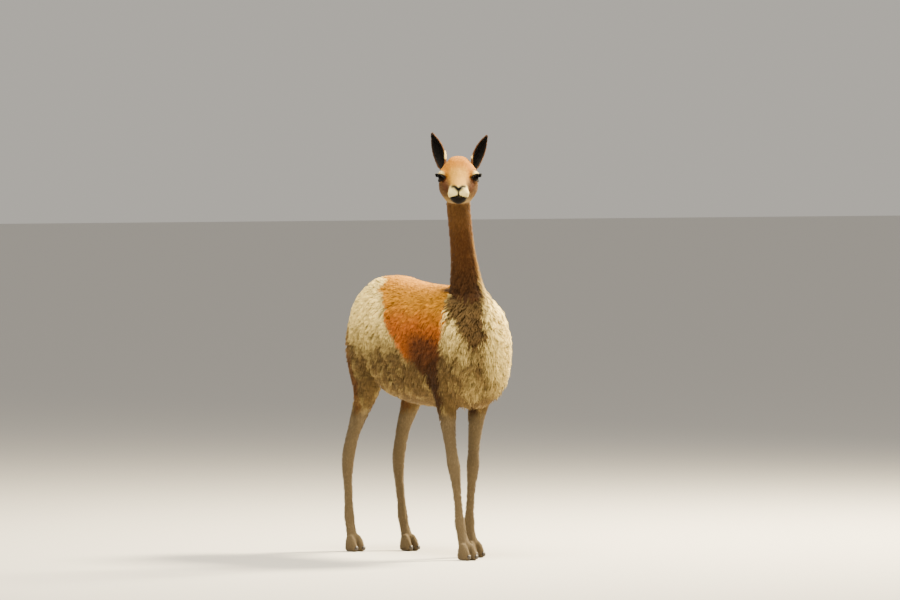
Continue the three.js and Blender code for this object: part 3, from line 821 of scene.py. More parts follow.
def face_markings(shade, place, paint, rough, fine):
    """The head's colours laid over the rest, in the head's own frame folded onto its left side."""
    offset = place - tuple(EYES_AT * MM)
    ahead, left, up = offset.dot(AHEAD), abs(offset.dot(LEFT)), offset.dot(UP)
    local = shade.node("ShaderNodeCombineXYZ", {}, [ahead, left, up])
    on_head = (up + rough * 0.02 + ahead * 0.15).step(-0.090, -0.068)
    # Below the eyes the face is darker: painted shade on the lower face
    face = shade.mix("cheek", "fawn_face", (up + rough * 0.02).step(-0.022, 0.016))
    behind = ahead.step(-0.020, -0.070) * up.step(0.030, -0.010)
    face = shade.mix(face, "nape", behind * 0.6)
    # Paler along the top of the muzzle: partly the bridge's own fawn, partly painted highlight
    on_top = (up + ahead * 0.70 - 0.040 + rough * 0.01).step(-0.024, -0.008) * ahead.step(-0.005, 0.030)
    face = shade.mix(face, "bridge", on_top * left.step(0.034, 0.018))
    jaw = up.step(-0.045, -0.066) * ahead.step(0.065, 0.030)
    face = shade.mix(face, "cream", jaw * 0.15)
    face = shade.mix(face, "brow", shade.near(local, BROW, 0.013) * 0.95)
    face = shade.mix(face, "stripe", shade.near(local, TEAR, 0.016) * 0.85)
    pad = (ahead + rough * 0.01).step(0.064, 0.078) * (up - left * 0.15 + rough * 0.01).step(-0.022, -0.032)
    face = shade.mix(face, "muzzle", pad)
    # Near-black chin: painted shade under the muzzle's pads, with the dark lips
    chin = (up + fine * 0.006 + left * 0.10).step(-0.054, -0.059) * (ahead - left * 0.3).step(0.056, 0.068)
    face = shade.mix(face, "lip", chin * left.step(0.034, 0.020))
    blunt = shade.node("ShaderNodeCombineXYZ", {}, [ahead * float(BLUNT[0]), left, up])
    snout = ahead.step(0.045, 0.055)
    face = shade.mix(face, "lip", shade.near(blunt, MOUTH, 0.0050) * snout)
    face = shade.mix(face, "lip", shade.near(blunt, PHILTRUM, 0.0050) * snout)
    face = shade.mix(face, "nose", shade.near(blunt, NOSTRIL, 0.0096) * snout)
    eye = local - (0.0, EYE_SIDE * MM, 0.0)
    wide, tall = eye.dot(EYE_FORWARD) / 0.0198, eye.dot(UP) / 0.0120
    rim = (wide * wide + tall * tall).step(1.15, 0.92) * eye.length().step(0.030, 0.026)
    face = shade.mix(face, "nose", rim * eye.dot(EYE_GAZE).step(0.0, 0.004))
    return shade.mix(paint, face, on_head)


# Constants of the shader that skin and coat share
HAIR = {"Roughness": 0.85, "Sheen Weight": 0.04, "Sheen Roughness": 0.5, "Specular IOR Level": 0.15}


def coat_material():
    """For tufts: one marking for each tuft from its root, with painted shade at the root and lighter at the
    tip.
    """
    shade = Shade("coat", HAIR)
    colour = markings(shade, shade.attribute("root", "Vector"))
    # Painted shade between the hairs, deepest at each tuft's root
    depth = shade.attribute("along").step(-0.35, 0.75) * 0.52 + 0.52
    spot = shade.place() - tuple(SHIFT)
    height = shade.split(spot)[2]
    flat = shade.node("ShaderNodeVectorMath", {"operation": "MULTIPLY"}, [spot, (1.0, 1.0, 2.6)])
    wool = height.step(0.38, 0.50) * height.step(0.92, 0.80) * 1.35 + 0.15
    crimp = shade.noise(flat, 46.0, 2.0) * wool + 1.0
    return shade.feed({"Base Color": shade.tone(colour, depth * shade.attribute("tint") * crimp)})


def with_nap(shade, colour, scale, contrast, base, strength, height):
    """Feeds a colour with a short nap over it, in tone and in relief."""
    nap = shade.noise(shade.place(), scale, 2.0)
    relief = shade.bump(nap, strength, height)
    return shade.feed({"Base Color": shade.tone(colour, nap * contrast + base), "Normal": relief})


def skin_material():
    """For the skin under the coat: the same markings, a little darker, with a short nap."""
    shade = Shade("skin", HAIR)
    return with_nap(shade, markings(shade, shade.place()), 900.0, 0.25, 0.80, 0.35, 0.0008)


# Stands for a radius well outside a part
FAR = 9
# Heights of the top of the legs, the top of the feet and the foot of the head, and how far back the tail is
LEG_TOP, FOOT_TOP, HEAD_FOOT = 640, 70, 1040
TAIL_FRONT = 330


def region_radii(points):
    """How far out each point lies in each part of the body, where 1 is that part's surface."""
    radii = {}
    y = points[:, 1]
    top, bottom, half = Profile(TORSO).at(y)
    rise = (top - bottom) / 2
    flat = np.abs(points[:, 0]) / half
    tall = np.abs(points[:, 2] - (top + bottom) / 2) / rise
    inside = (y > TORSO[0][0] + 2) & (y < TORSO[-1][0] + 6)
    shape = (flat ** TORSO_SQUARE + tall ** TORSO_SQUARE) ** (1 / TORSO_SQUARE)
    radii["torso"] = np.where(inside, shape, FAR)
    z = points[:, 2]
    x0, y0, half, depth, turn = Profile(NECK).at(z)
    turn = np.radians(turn)
    dx, dy = points[:, 0] - x0, y - y0
    across = dx * np.cos(turn) + dy * np.sin(turn)
    ahead = dx * np.sin(turn) - dy * np.cos(turn)
    inside = (z > NECK[0][0]) & (z < NECK[-1][0])
    radii["neck"] = np.where(inside, np.hypot(across / half, ahead / depth), FAR)
    local = head_frame(points)
    top, bottom, half, _ = Profile(HEAD).at(local[:, 0])
    tall = (local[:, 2] - (top + bottom) / 2) / ((top - bottom) / 2)
    inside = (local[:, 0] > HEAD[0][0] - 4) & (local[:, 0] < HEAD[-1][0] + 12) & (z > HEAD_FOOT)
    radii["head"] = np.where(inside, np.hypot(local[:, 1] / half, tall), FAR)
    for name in LEGS:
        x0, y0, half, depth = Profile(leg_rows(name)).at(z)
        radii[name] = np.where(z < LEG_TOP, np.hypot((points[:, 0] - x0) / half, (y - y0) / depth), FAR)
        radii[name] = np.where((z < FOOT_TOP) & (radii[name] < 5), 0.9, radii[name])
    share = (TAIL_TOP - z) / TAIL_LENGTH
    y0, half, depth = Profile(TAIL).at(share)
    inside = (share > 0) & (share < 1.02) & (y > TAIL_FRONT)
    radii["tail"] = np.where(inside, np.hypot(points[:, 0] / half, (y - y0) / depth), FAR)
    return radii


# Coat by region: length, width, thickness, lift of the tips, tufts for each square centimetre, staple pull
COATS = {
    "back": (15, 2.8, 1.3, 6, 7.5, 0.35),
    "flank": (22, 3.2, 1.6, 9, 7.5, 0.6),
    "wool": (20, 3.2, 1.7, 10, 7.5, 0.75),
    "chest": (28, 3.6, 1.8, 10, 7, 0.7),
    "neck": (11, 2.2, 1.1, 6.5, 10, 0.45),
    "ruff": (20, 3.2, 1.5, 11, 8, 0.65),
    "head": (7, 1.6, 0.8, 2.6, 14, 0.1),
    "face": (3.6, 1.1, 0.6, 1.0, 18, 0.0),
    "thigh": (17, 2.8, 1.4, 6, 7, 0.65),
    "shin": (9, 1.9, 0.9, 2.6, 8, 0.2),
    "foot": (5.5, 1.5, 0.7, 1.5, 9, 0.1),
    "tail": (24, 3.6, 1.8, 8, 7, 0.5),
}
# Columns of those rows
DENSITY, PULL = 4, 5
# Rounds of evening out the coat's lie and its make
LIE_ROUNDS, MAKE_ROUNDS = 12, 6


class Skin:
    """The finished skin's triangles, with the coat's lie and make at every corner."""

    def __init__(self, piece):
        mesh = piece.data
        mesh.calc_loop_triangles()
        self.corners = read(mesh.loop_triangles, "vertices", 3, np.int32)
        loops = read(mesh.loop_triangles, "loops", 3, np.int32)
        self.uv = read(mesh.uv_layers["OFBake"].data, "uv", 2)[loops]
        self.points = points_of(piece)
        self.normals = normals_of(piece)
        self.edges = read(mesh.edges, "vertices", 2, np.int32)
        a, b, c = (self.points[self.corners[:, k]] for k in range(3))
        self.area = np.linalg.norm(np.cross(b - a, c - a), axis=1) / 200
        self.read_regions()

    def spread(self, values, rounds):
        """Evens out values at the corners with those of their neighbours."""
        ends = np.concatenate([self.edges, self.edges[:, ::-1]])
        count = np.bincount(ends[:, 0], minlength=len(values))[:, None] + 1
        for _ in range(rounds):
            total = values.copy()
            for k in range(values.shape[1]):
                total[:, k] += np.bincount(ends[:, 0], weights=values[ends[:, 1], k], minlength=len(values))
            values = total / count
        return values

    def read_regions(self):
        """Gives every corner its part of the body, the lie of its coat and its row of the coat's make."""
        points = self.points
        radii = region_radii(points)
        names = list(radii)
        part = np.array(names)[np.argmin([radii[n] for n in names], axis=0)]
        x, y, z = points.T
        local = head_frame(points)
        from_back = np.abs(x) + np.maximum(800 - z, 0)
        lie = np.zeros_like(points)
        make = np.zeros((len(points), 6))
        rows = {name: np.array(row, float) for name, row in COATS.items()}

        def blend(first, second, share):
            return rows[first] * (1 - share[:, None]) + rows[second] * share[:, None]

        torso = part == "torso"
        low = smooth(from_back, 60, 190)
        lie[torso] = np.stack([0 * low, 1 - 0.65 * low, -0.25 - 0.9 * low], axis=-1)[torso]
        front = torso & (y < -230)
        lie[front] = np.stack([0.12 * np.sign(x), 0 * x + 0.15, 0 * x - 1], axis=-1)[front]
        rump = torso & (y > 280)
        lie[rump] = (0, 0.25, -1)
        under = torso & (z < 500) & (y > -200)
        lie[under] = (0, 0.9, -0.3)
        edge = np.interp(y / 1000, *np.array(SADDLE_EDGE).T) * 1000
        saddle = blend("back", "flank", smooth(from_back, 60, 180))
        pale = blend("wool", "chest", smooth(-y, 225, 290))
        pale_share = smooth(from_back - edge, -15, 15)[:, None]
        make[torso] = (saddle * (1 - pale_share) + pale * pale_share)[torso]
        neck = part == "neck"
        lie[neck] = (0, 0, -1)
        make[neck] = blend("neck", "ruff", smooth(-z, -950, -790))[neck]
        head = part == "head"
        drop = smooth(-local[:, 2], -20, 40)
        way = -AHEAD * (1 - 0.35 * drop)[:, None] - UP * (0.15 + 0.6 * drop)[:, None]
        lie[head] = way[head]
        make[head] = blend("head", "face", smooth(local[:, 0], 30, 75))[head]
        throat = smooth(-local[:, 0], 40, 100)
        make[head] = (make * (1 - 0.7 * throat[:, None]) + rows["neck"] * 0.7 * throat[:, None])[head]
        for name in LEGS:
            leg = part == name
            lie[leg] = (0, 0.12, -1)
            low = blend("thigh", "shin", smooth(-z, -520, -330))
            foot = smooth(-z, -90, -50)[:, None]
            make[leg] = (low * (1 - foot) + rows["foot"] * foot)[leg]
        tail = part == "tail"
        lie[tail] = (0, 0.05, -1)
        make[tail] = rows["tail"]
        lie = self.spread(lie, LIE_ROUNDS)
        lie -= self.normals * (lie * self.normals).sum(axis=1)[:, None]
        self.lie = unit(lie)
        self.make = self.spread(make, MAKE_ROUNDS)
        self.part = part

    def scatter(self, chosen, random, share=1.0, count=0):
        """Random roots where a triangle's corners are all chosen: by density, or a count spread evenly."""
        inside = chosen[self.corners].all(axis=1)
        density = self.make[:, DENSITY][self.corners].mean(axis=1)
        if count:
            density = 1.0
            share = count / max(float(np.where(inside, self.area, 0).sum()), 1)
        expected = np.where(inside, self.area * density * share, 0)
        count = int(expected.sum())
        pick = random.choice(len(expected), size=count, p=expected / expected.sum())
        a, b = random.random((2, count))
        flip = a + b > 1
        a[flip], b[flip] = 1 - a[flip], 1 - b[flip]
        weight = np.stack([1 - a - b, a, b], axis=-1)
        corner = self.corners[pick]

        def at(values):
            return (values[corner] * weight[..., None]).sum(axis=1)

        return {
            "root": at(self.points), "out": unit(at(self.normals)), "lie": unit(at(self.lie)),
            "make": at(self.make), "uv": (self.uv[pick] * weight[..., None]).sum(axis=1),
        }


# Roots in a staple and the width of a tuft's patch in the unwrap
STAPLE = 10
PATCH = 0.003
# The spread of shades, and its parts from tuft to tuft and from staple to staple
TINT = 0.16
TINT_EACH, TINT_STAPLE = 0.6, 0.7
# How deep roots sink in the skin, and the share of the lift that is added
SINK, SINK_SHARE = 1.2, 0.12
# How tufts differ: least and greatest length and lift, and the spread of their swing and roll
LENGTHS = (0.75, 1.2)
LIFTS = (0.55, 1.15)
SWING, ROLL = 0.16, 0.35
# A tuft's width along its length, the waves on it and how far its sides' normals lean out
TAPER = ([0, 0.3, 0.7, 1], [0.75, 1, 0.72, 0])
WAVES = 1.6
LEAN = 0.7


def staples(roots, random):
    """Gathers roots into staples: each root's staple, and the root at that staple's heart."""
    chosen = random.choice(len(roots), size=max(len(roots) // STAPLE, 1), replace=False)
    staple = nearest(roots, roots[chosen])
    return staple, roots[chosen[staple]]


def tufts(place, random, rings=3, bend=0.0, fall=None, wave=0.0, pull=1.0):
    """Tapered three-sided tufts in one mesh, along the lie from their roots or bent to a fall."""
    root, out, lie, make = (place[k] for k in ("root", "out", "lie", "make"))
    count = len(root)
    length, width, thick, lift = (make[:, k] for k in range(4))
    length = length * random.uniform(*LENGTHS, count)
    lift = lift * random.uniform(*LIFTS, count)
    swing = random.normal(0, SWING, count)[:, None]
    side = unit(np.cross(out, lie))
    lie = unit(lie + side * swing)
    roll = random.normal(0, ROLL, count)[:, None]
    side = unit(np.cross(out, lie))
    side, rise = side * np.cos(roll) + out * np.sin(roll), out * np.cos(roll) - side * np.sin(roll)
    staple, heart = staples(root, random)
    shared = random.random(int(staple.max()) + 1)[staple]
    gather = (heart - root) * (make[:, PULL] * pull)[:, None]
    gather -= out * (gather * out).sum(axis=1)[:, None]
    fall = lie if fall is None else np.broadcast_to(unit(np.asarray(fall, float)), lie.shape)
    sink = SINK + SINK_SHARE * lift
    steps = np.arange(rings + 1) / rings
    widths = np.interp(steps, *TAPER)
    rows = []
    for t, wide in zip(steps, widths):
        up = -sink + (lift + sink) * (1 - (1 - t) ** 2)
        curl = wave * length * t * np.sin(2 * np.pi * (WAVES * t + shared))
        centre = (
            root
            + out * up[:, None]
            + length[:, None] * ((t - 0.5 * bend * t * t) * lie + 0.5 * bend * t * t * fall)
            + gather * t ** 1.5
            + side * curl[:, None]
        )
        half, high = 0.5 * width * wide, thick * wide
        if t < 1:
            rows.append(centre - side * half[:, None])
            rows.append(centre + side * half[:, None])
            rows.append(centre + rise * high[:, None])
        else:
            rows.append(centre)
    points = np.stack(rows, axis=1)
    lean = np.tile([-LEAN, LEAN, 0.0], rings).tolist() + [0.0]
    normals = unit(out[:, None] + np.array(lean)[None, :, None] * side[:, None])
    along = np.append(np.repeat(steps[:-1], 3), 1.0)
    across = np.tile([0.0, 1.0, 0.5], rings).tolist() + [0.5]
    patch = PATCH * np.stack([np.array(across) - 0.5, along - 0.5], axis=-1)
    uv = place["uv"][:, None] + patch[None]
    shades = 1 + TINT * (TINT_EACH * random.uniform(-1, 1, count) + TINT_STAPLE * (2 * shared - 1))
    return tuft_mesh(points, normals, rings, root, shades, along, uv)


def tuft_mesh(points, normals, rings, root, shades, along, uv):
    """One mesh of all the tufts, with each one's root, shade and how far along it every point lies."""
    count, each = points.shape[:2]
    quads = [
        (3 * k + a, 3 * k + b, 3 * k + 3 + b, 3 * k + 3 + a)
        for k in range(rings - 1)
        for a, b in ((0, 1), (1, 2), (2, 0))
    ]
    last = 3 * (rings - 1)
    ends = [(last + a, last + b, last + 3) for a, b in ((0, 1), (1, 2), (2, 0))] + [(0, 2, 1)]
    pattern = np.array([i for face in quads + ends for i in face], np.int32)
    starts = np.cumsum([0] + [len(face) for face in quads + ends])[:-1]
    loops = (pattern[None] + each * np.arange(count)[:, None]).ravel().astype(np.int32)
    first = (starts[None] + len(pattern) * np.arange(count)[:, None]).ravel().astype(np.int32)
    mesh = bpy.data.meshes.new("tufts")
    mesh.vertices.add(count * each)
    mesh.vertices.foreach_set("co", (points.reshape(-1, 3) * MM + SHIFT).astype(np.float32).ravel())
    mesh.loops.add(len(loops))
    mesh.loops.foreach_set("vertex_index", loops)
    mesh.polygons.add(len(first))
    mesh.polygons.foreach_set("loop_start", first)
    mesh.update(calc_edges=True)
    mesh.shade_smooth()
    layer = mesh.uv_layers.new(name="OFBake")
    layer.data.foreach_set("uv", uv.reshape(-1, 2)[loops].astype(np.float32).ravel())
    for name, kind, field, values in (
        ("root", "FLOAT_VECTOR", "vector", np.repeat(root * MM + SHIFT, each, axis=0)),
        ("tint", "FLOAT", "value", np.repeat(shades, each)),
        ("along", "FLOAT", "value", np.tile(along, count)),
    ):
        data = mesh.attributes.new(name, kind, "POINT").data
        data.foreach_set(field, values.astype(np.float32).ravel())
    mesh.normals_split_custom_set_from_vertices(normals.reshape(-1, 3).tolist())
    return put("tufts", mesh)


def put(name, data):
    """An object for a mesh, lamp or camera, linked to the scene."""
    made = bpy.data.objects.new(name, data)
    bpy.context.scene.collection.objects.link(made)
    return made


def plain(name, colour, roughness):
    material = bpy.data.materials.new(name)
    material.use_nodes = True
    shader = material.node_tree.nodes["Principled BSDF"]
    shader.inputs["Base Color"].default_value = (*colour, 1)
    shader.inputs["Roughness"].default_value = roughness
    return material


# Camera: the way to it from the animal, its distance and lens, and how far right and up it looks
VIEW_TURN = math.radians(-33)
VIEW_PITCH = math.radians(1.41)
VIEW_DISTANCE = 23.4
FOCUS = 309.0
SENSOR = 36.0
LOOK_RIGHT, LOOK_UP = 0.063, 0.774
CLIP_END = 200

FLOOR_SIZE = 120
FLOOR_COLOUR = (0.68, 0.66, 0.63)
FLOOR_ROUGHNESS = 0.9
SKY_COLOUR = (0.94, 0.89, 0.80)
SKY_STRENGTH = 0.55
# Lamps: the way to each from a point over the floor, its distance, size, power and colour
LAMPS_AIM = 0.7
LAMPS = {
    "key": ((0.72, 0.02, 0.74), 4.0, 1.0, 1200, (1.0, 0.84, 0.55)),
    "top": ((-0.22, -0.30, 1.0), 4.0, 2.0, 420, (1.0, 0.90, 0.70)),
    "fill": ((-0.75, -0.8, 0.5), 5.0, 3.0, 30, (1.0, 0.95, 0.88)),
}


def camera():
    """The photograph's view."""
    level = math.cos(VIEW_PITCH)
    back = Vector((math.sin(VIEW_TURN) * level, -math.cos(VIEW_TURN) * level, math.sin(VIEW_PITCH)))
    right = Vector((math.cos(VIEW_TURN), math.sin(VIEW_TURN), 0))
    target = Vector(SHIFT) + LOOK_RIGHT * right + Vector((0, 0, LOOK_UP))
    data = bpy.data.cameras.new("camera")
    data.lens = FOCUS
    data.sensor_width = SENSOR
    data.clip_end = CLIP_END
    made = put("camera", data)
    made.location = target + VIEW_DISTANCE * back
    made.rotation_euler = back.to_track_quat("Z", "Y").to_euler()
    bpy.context.scene.camera = made


def studio():
    """A plain pale floor, a pale sky and three soft lamps."""
    bpy.ops.mesh.primitive_plane_add(size=FLOOR_SIZE)
    floor = bpy.context.object
    floor.name = "floor"
    floor.data.materials.append(plain("floor", FLOOR_COLOUR, FLOOR_ROUGHNESS))
    world = bpy.data.worlds.new("studio")
    bpy.context.scene.world = world
    world.use_nodes = True
    world.node_tree.nodes["Background"].inputs["Color"].default_value = (*SKY_COLOUR, 1)
    world.node_tree.nodes["Background"].inputs["Strength"].default_value = SKY_STRENGTH
    for name, (way, distance, size, power, colour) in LAMPS.items():
        light = bpy.data.lights.new(name, "AREA")
        light.color = colour
        light.size = size
        light.energy = power
        lamp = put(name, light)
        direction = Vector(way).normalized()
        lamp.location = Vector((0, 0, LAMPS_AIM)) + distance * direction
        lamp.rotation_euler = direction.to_track_quat("Z", "Y").to_euler()


def tuft_material(name, hue_name):
    """For tufts of one colour, with painted shade towards each tuft's root."""
    shade = Shade(name, HAIR)
    # Painted shade between the hairs, deepest at each tuft's root
    depth = shade.attribute("along").step(-0.35, 0.75) * 0.62 + 0.44
    colour = shade.node("ShaderNodeRGB", {}, [])
    colour.socket.default_value = (*getattr(shade.hues, hue_name), 1)
    return shade.feed({"Base Color": shade.tone(colour, depth * shade.attribute("tint"))})


def eye_material(side):
    """A near-black eye with a brown iris round a wide pupil."""
    shade = Shade("eye", {"Roughness": 0.06, "Specular IOR Level": 0.035})
    middle, _, forward, up = eye_frame(side)
    offset = shade.place() - tuple(middle * MM + SHIFT)
    across, tall = offset.dot(forward), offset.dot(up)
    pupil = (across * across * 0.35 + tall * tall).step(0.000030, 0.000020)
    return shade.feed({"Base Color": shade.mix("iris", "nose", pupil)})


# The lid's section from the eyeball outward: scale against the eye's opening, then rise over the eyeball
LID = [
    (1.0, -1.6), (1.0, 0.8), (1.03, 2.1), (1.12, 2.9), (1.24, 2.7), (1.36, 2.9), (1.5, 1.8), (1.6, -0.5),
    (1.4, -2.5),
]
LID_SIDES = 56
# The fold over the upper lid: its scale, width and rise, and the rise of the lid's brim
FOLD_AT, FOLD_WIDTH, FOLD_RISE = 1.36, 0.08, 1.1
BRIM_END, BRIM_RISE = 1.2, 0.7


def lid(side):
    """A closed rim round the eye's opening, sunk in the skin outside, with a fold over the upper lid."""
    bpy.ops.object.select_all(action="DESELECT")
    bpy.ops.mesh.primitive_torus_add(major_segments=LID_SIDES, minor_segments=len(LID))
    piece = bpy.context.object
    angle = 2 * np.pi * np.arange(LID_SIDES) / LID_SIDES
    upper = np.maximum(np.sin(angle), 0)
    rings = []
    for scale, rise in LID:
        fold = FOLD_RISE * math.exp(-(((scale - FOLD_AT) / FOLD_WIDTH) ** 2))
        brim = BRIM_RISE if scale < BRIM_END and rise > 0 else 0.0
        rings.append(eye_ring(side, scale, angle, EYE_RADIUS + rise + upper * (fold + brim)))
    move_points(piece, np.stack(rings, axis=1).reshape(-1, 3))
    face_outward(piece)
    return piece


def fixed_make(count, length, width, thick, lift, pull=0.0):
    """One row of the coat's make for every tuft."""
    return np.tile([length, width, thick, lift, 0, pull], (count, 1)).astype(float)


# Lashes: angles round the eye from and to, in degrees, and their count, above and below the eye
UPPER_LASHES = (2, 176, 150)
LOWER_LASHES = (200, 330, 30)
LOWER_LENGTH = 5


def lashes(side, random, length):
    """Long dark lashes along the upper lid and short ones below."""
    angle = np.radians(np.concatenate([random.uniform(*UPPER_LASHES), random.uniform(*LOWER_LASHES)]))
    root = eye_ring(side, 1.04, angle, np.full(len(angle), EYE_RADIUS + WRAP_OVER))
    middle, gaze, forward, _ = eye_frame(side)
    upper = (np.sin(angle) > 0)[:, None]
    raised = 0.75 * gaze + 0.25 * AHEAD + 0.10 * UP - 0.12 * forward
    lie = unit(np.where(upper, raised, gaze * 0.5 - UP) + 0.5 * unit(root - middle))
    out = unit(np.cross(np.cross(lie, UP), lie))
    make = fixed_make(len(angle), length, 1.2, 0.9, -2.5)
    make[~upper[:, 0], 0] = LOWER_LENGTH
    uv = np.stack([angle / 7, 0 * angle + 0.5], axis=-1)
    place = {"root": root, "out": out, "lie": lie, "make": make, "uv": uv}
    return tufts(place, random, bend=0.25, fall=(0, 0, 1), pull=0.0)


# Ear: share of its length, half width, depth of the cup against that, half angle of the cup in degrees
EAR = [
    (0, 10, 1.0, 150), (0.10, 13, 0.95, 135), (0.25, 16.5, 0.8, 112), (0.45, 18.5, 0.62, 98),
    (0.65, 16.5, 0.5, 90), (0.82, 11, 0.45, 88), (0.94, 5.5, 0.4, 88), (1, 1.6, 0.4, 88),
]
EAR_ROOT = (-72, 49, 33)
# Each ear's length, the size of its cup, and how far it leans out against its rise
EARS = {"left": (99, 0.9, 0.40), "right": (104, 0.96, 0.31)}
EAR_BACK = 0.2
# The way an ear's cup opens, ahead and out
CUP_AHEAD, CUP_OUT = 0.94, 0.34
EAR_SINK = 10
EAR_WALL = 2.4
EAR_BOW = 7
EAR_RINGS, EAR_SIDES = 26, 13
# How far round the cup the inner wall reaches against the outer one, and hairs' step to their neighbours
EAR_INNER = 0.96
EAR_STEP = 0.02
# Hair on an ear: count, share of its length from and to, place round the cup from and to, then length,
# width, thickness and lift, how far inside the ear's outer face it grows, and lean towards the opening
EAR_HAIR = {
    "back": (1500, 0.04, 0.97, -1, 1, (8, 1.6, 0.8, 2.0), 0.0, 0.0),
    "inside": (500, 0.10, 0.92, -0.95, 0.95, (12, 1.4, 0.7, 3.0), EAR_WALL, 0.2),
}
EAR_EDGE_HAIR = {
    "left": (14, 0.20, 0.26, -0.98, -0.80, (12, 2.0, 0.9, 4.0), 0.0, 0.2),
    "right": (120, 0.20, 0.38, 0.72, 0.98, (12, 2.0, 0.9, 4.0), 0.0, 0.2),
}


def ear_frame(word, side):
    """An ear's root, its axis, the way its cup opens and the way across it."""
    axis = unit(UP + side * EARS[word][2] * LEFT - EAR_BACK * AHEAD)
    opening = CUP_AHEAD * AHEAD + CUP_OUT * side * LEFT
    opening = unit(opening - axis * (opening @ axis))
    return in_head(EAR_ROOT[0], side * EAR_ROOT[1], EAR_ROOT[2]), axis, opening, np.cross(axis, opening)


def ear_points(word, side, share, angle, inset=0.0):
    """Places on an ear's wall: share runs from root to tip, angle from -1 to 1 round the cup."""
    root, axis, opening, across = ear_frame(word, side)
    half, cup, reach = Profile(EAR).at(share)
    turn = np.radians(reach) * angle
    length, size, _ = EARS[word]
    half = np.maximum(half * size - inset, 0.4)
    rise = share * (length + EAR_SINK) - EAR_SINK
    place = root + np.multiply.outer(rise, axis) + np.multiply.outer(half * np.sin(turn), across)
    bow = EAR_BOW * (1 - (2 * share - 1) ** 2)
    return place - np.multiply.outer(half * cup * np.cos(turn) + bow, opening)


def ear(word, side):
    """An ear's closed wall, with its inner side marked."""
    round_out = np.linspace(-1, 1, EAR_SIDES)
    rings = []
    for share in np.linspace(0, 1, EAR_RINGS):
        full = np.full(EAR_SIDES, share)
        outer = ear_points(word, side, full, round_out)
        inner = ear_points(word, side, full, round_out[::-1] * EAR_INNER, EAR_WALL)
        rings.append(np.concatenate([outer, inner]))
    rings = np.array(rings)
    piece = loft(rings)
    inside = nearest(points_of(piece), rings.reshape(-1, 3)) % (2 * EAR_SIDES) >= EAR_SIDES
    data = piece.data.attributes.new("inner", "FLOAT", "POINT").data
    data.foreach_set("value", inside.astype(np.float32))
    face_outward(piece)
    return piece


def ear_material():
    """Brown outside and near black inside, with a short nap."""
    shade = Shade("ear", HAIR)
    colour = shade.mix("neck", "nose", shade.attribute("inner"))
    return with_nap(shade, colour, 700.0, 0.3, 0.9, 0.3, 0.0006)


def ear_tufts(word, side, random, count, low, high, near, far, make, inset, lean):
    """Short hairs on an ear between two shares of its length and two places round the cup."""
    share = random.uniform(low, high, count)
    angle = random.uniform(near, far, count)
    root = ear_points(word, side, share, angle, inset)
    ahead = ear_points(word, side, np.minimum(share + EAR_STEP, 1), angle, inset) - root
    beside = ear_points(word, side, share, angle + EAR_STEP, inset) - root
    opening = ear_frame(word, side)[2]
    centre = ear_points(word, side, share, 0 * angle, inset)
    centre += np.multiply.outer(Profile(EAR).at(share)[0], opening)
    out = unit(np.cross(beside, ahead))
    out *= np.sign((out * (root - centre)).sum(axis=1))[:, None] * (-1 if inset else 1)
    lie = unit(unit(ahead) + lean * opening)
    uv = np.stack([0.5 + 0.4 * angle * side, share], axis=-1)
    place = {"root": root, "out": out, "lie": lie, "make": fixed_make(count, *make), "uv": uv}
    return tufts(place, random, rings=2, pull=0.0)


NAIL_ROUGHNESS = 0.45


def nail(node):
    """A blunt dark nail in the place of its node."""
    low, high = (np.array(corner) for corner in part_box(node))
    half = (high - low) / 2 / MM
    middle = ((low + high) / 2 - SHIFT) / MM
    piece = ball(middle, 1, 20, 14)
    local = points_of(piece) - middle
    front = np.clip(-local[:, 1], 0, 1)
    local[:, 0] *= 1 - 0.6 * front ** 2
    local[:, 2] = np.minimum(local[:, 2], 1 - 1.15 * front ** 1.5)
    local[:, 2] -= 0.25 * front ** 2
    local[:, 2] = np.maximum(local[:, 2], -0.9)
    move_points(piece, middle + local * half)
    return piece


# Lines of the muzzle with the width kept bare on each, and how far from an eye fur starts: at a distance,
# or sooner at a scale of its opening
BARE = [(NOSTRIL, 4), (PHILTRUM, 2), (MOUTH, 2.2)]
BARE_NEAR, BARE_SCALE = 30, 1.42


def furred(points):
    """True where fur grows: away from the eyes, nostrils and mouth."""
    local = mirrored(head_frame(points))
    flat = local * BLUNT
    clear = np.all([to_line(flat, line) > width for line, width in BARE], axis=0)
    clear |= flat[:, 0] < GROOVED_FROM
    for side in (-1, 1):
        far, scale = eye_scale(points, side)
        clear &= (far > BARE_NEAR) | (scale > BARE_SCALE)
    return clear


# Each seam between pieces of the coat has an overlap: between back and flanks by how far round they lie,
# between left and right by x, between fore and hind by y
BACK_SEAM = (120, 130)
SIDE_SEAM = (-5, 5)
HALF_SEAM = (15, 30)
SOLE_TOP = 8


def coat_regions(body):
    """The corners that each piece of the coat covers, and the rings of its tufts."""
    x, y, z = body.points.T
    from_back = np.abs(x) + np.maximum(800 - z, 0)
    part = body.part
    torso = part == "torso"
    low = torso & (from_back >= BACK_SEAM[0])
    right, left = low & (x < SIDE_SEAM[1]), low & (x > SIDE_SEAM[0])
    fore, hind = y < HALF_SEAM[1], y > HALF_SEAM[0]
    above_sole = z > SOLE_TOP
    return {
        "coat_back": (torso & (from_back < BACK_SEAM[1]), 3),
        "coat_flank_right_fore": (right & fore, 3),
        "coat_flank_right_hind": (right & hind, 3),
        "coat_flank_left_fore": (left & fore, 3),
        "coat_flank_left_hind": (left & hind, 3),
        "coat_neck": (part == "neck", 3),
        "coat_legs_fore": (np.isin(part, ["fore_left", "fore_right"]) & above_sole, 2),
        "coat_legs_hind": (np.isin(part, ["hind_left", "hind_right"]) & above_sole, 2),
        "coat_head": ((part == "head") & furred(body.points), 2),
        "coat_tail": (part == "tail", 3),
    }


SHORT_COATS = ("coat_head", "coat_neck", "coat_legs_fore", "coat_legs_hind")
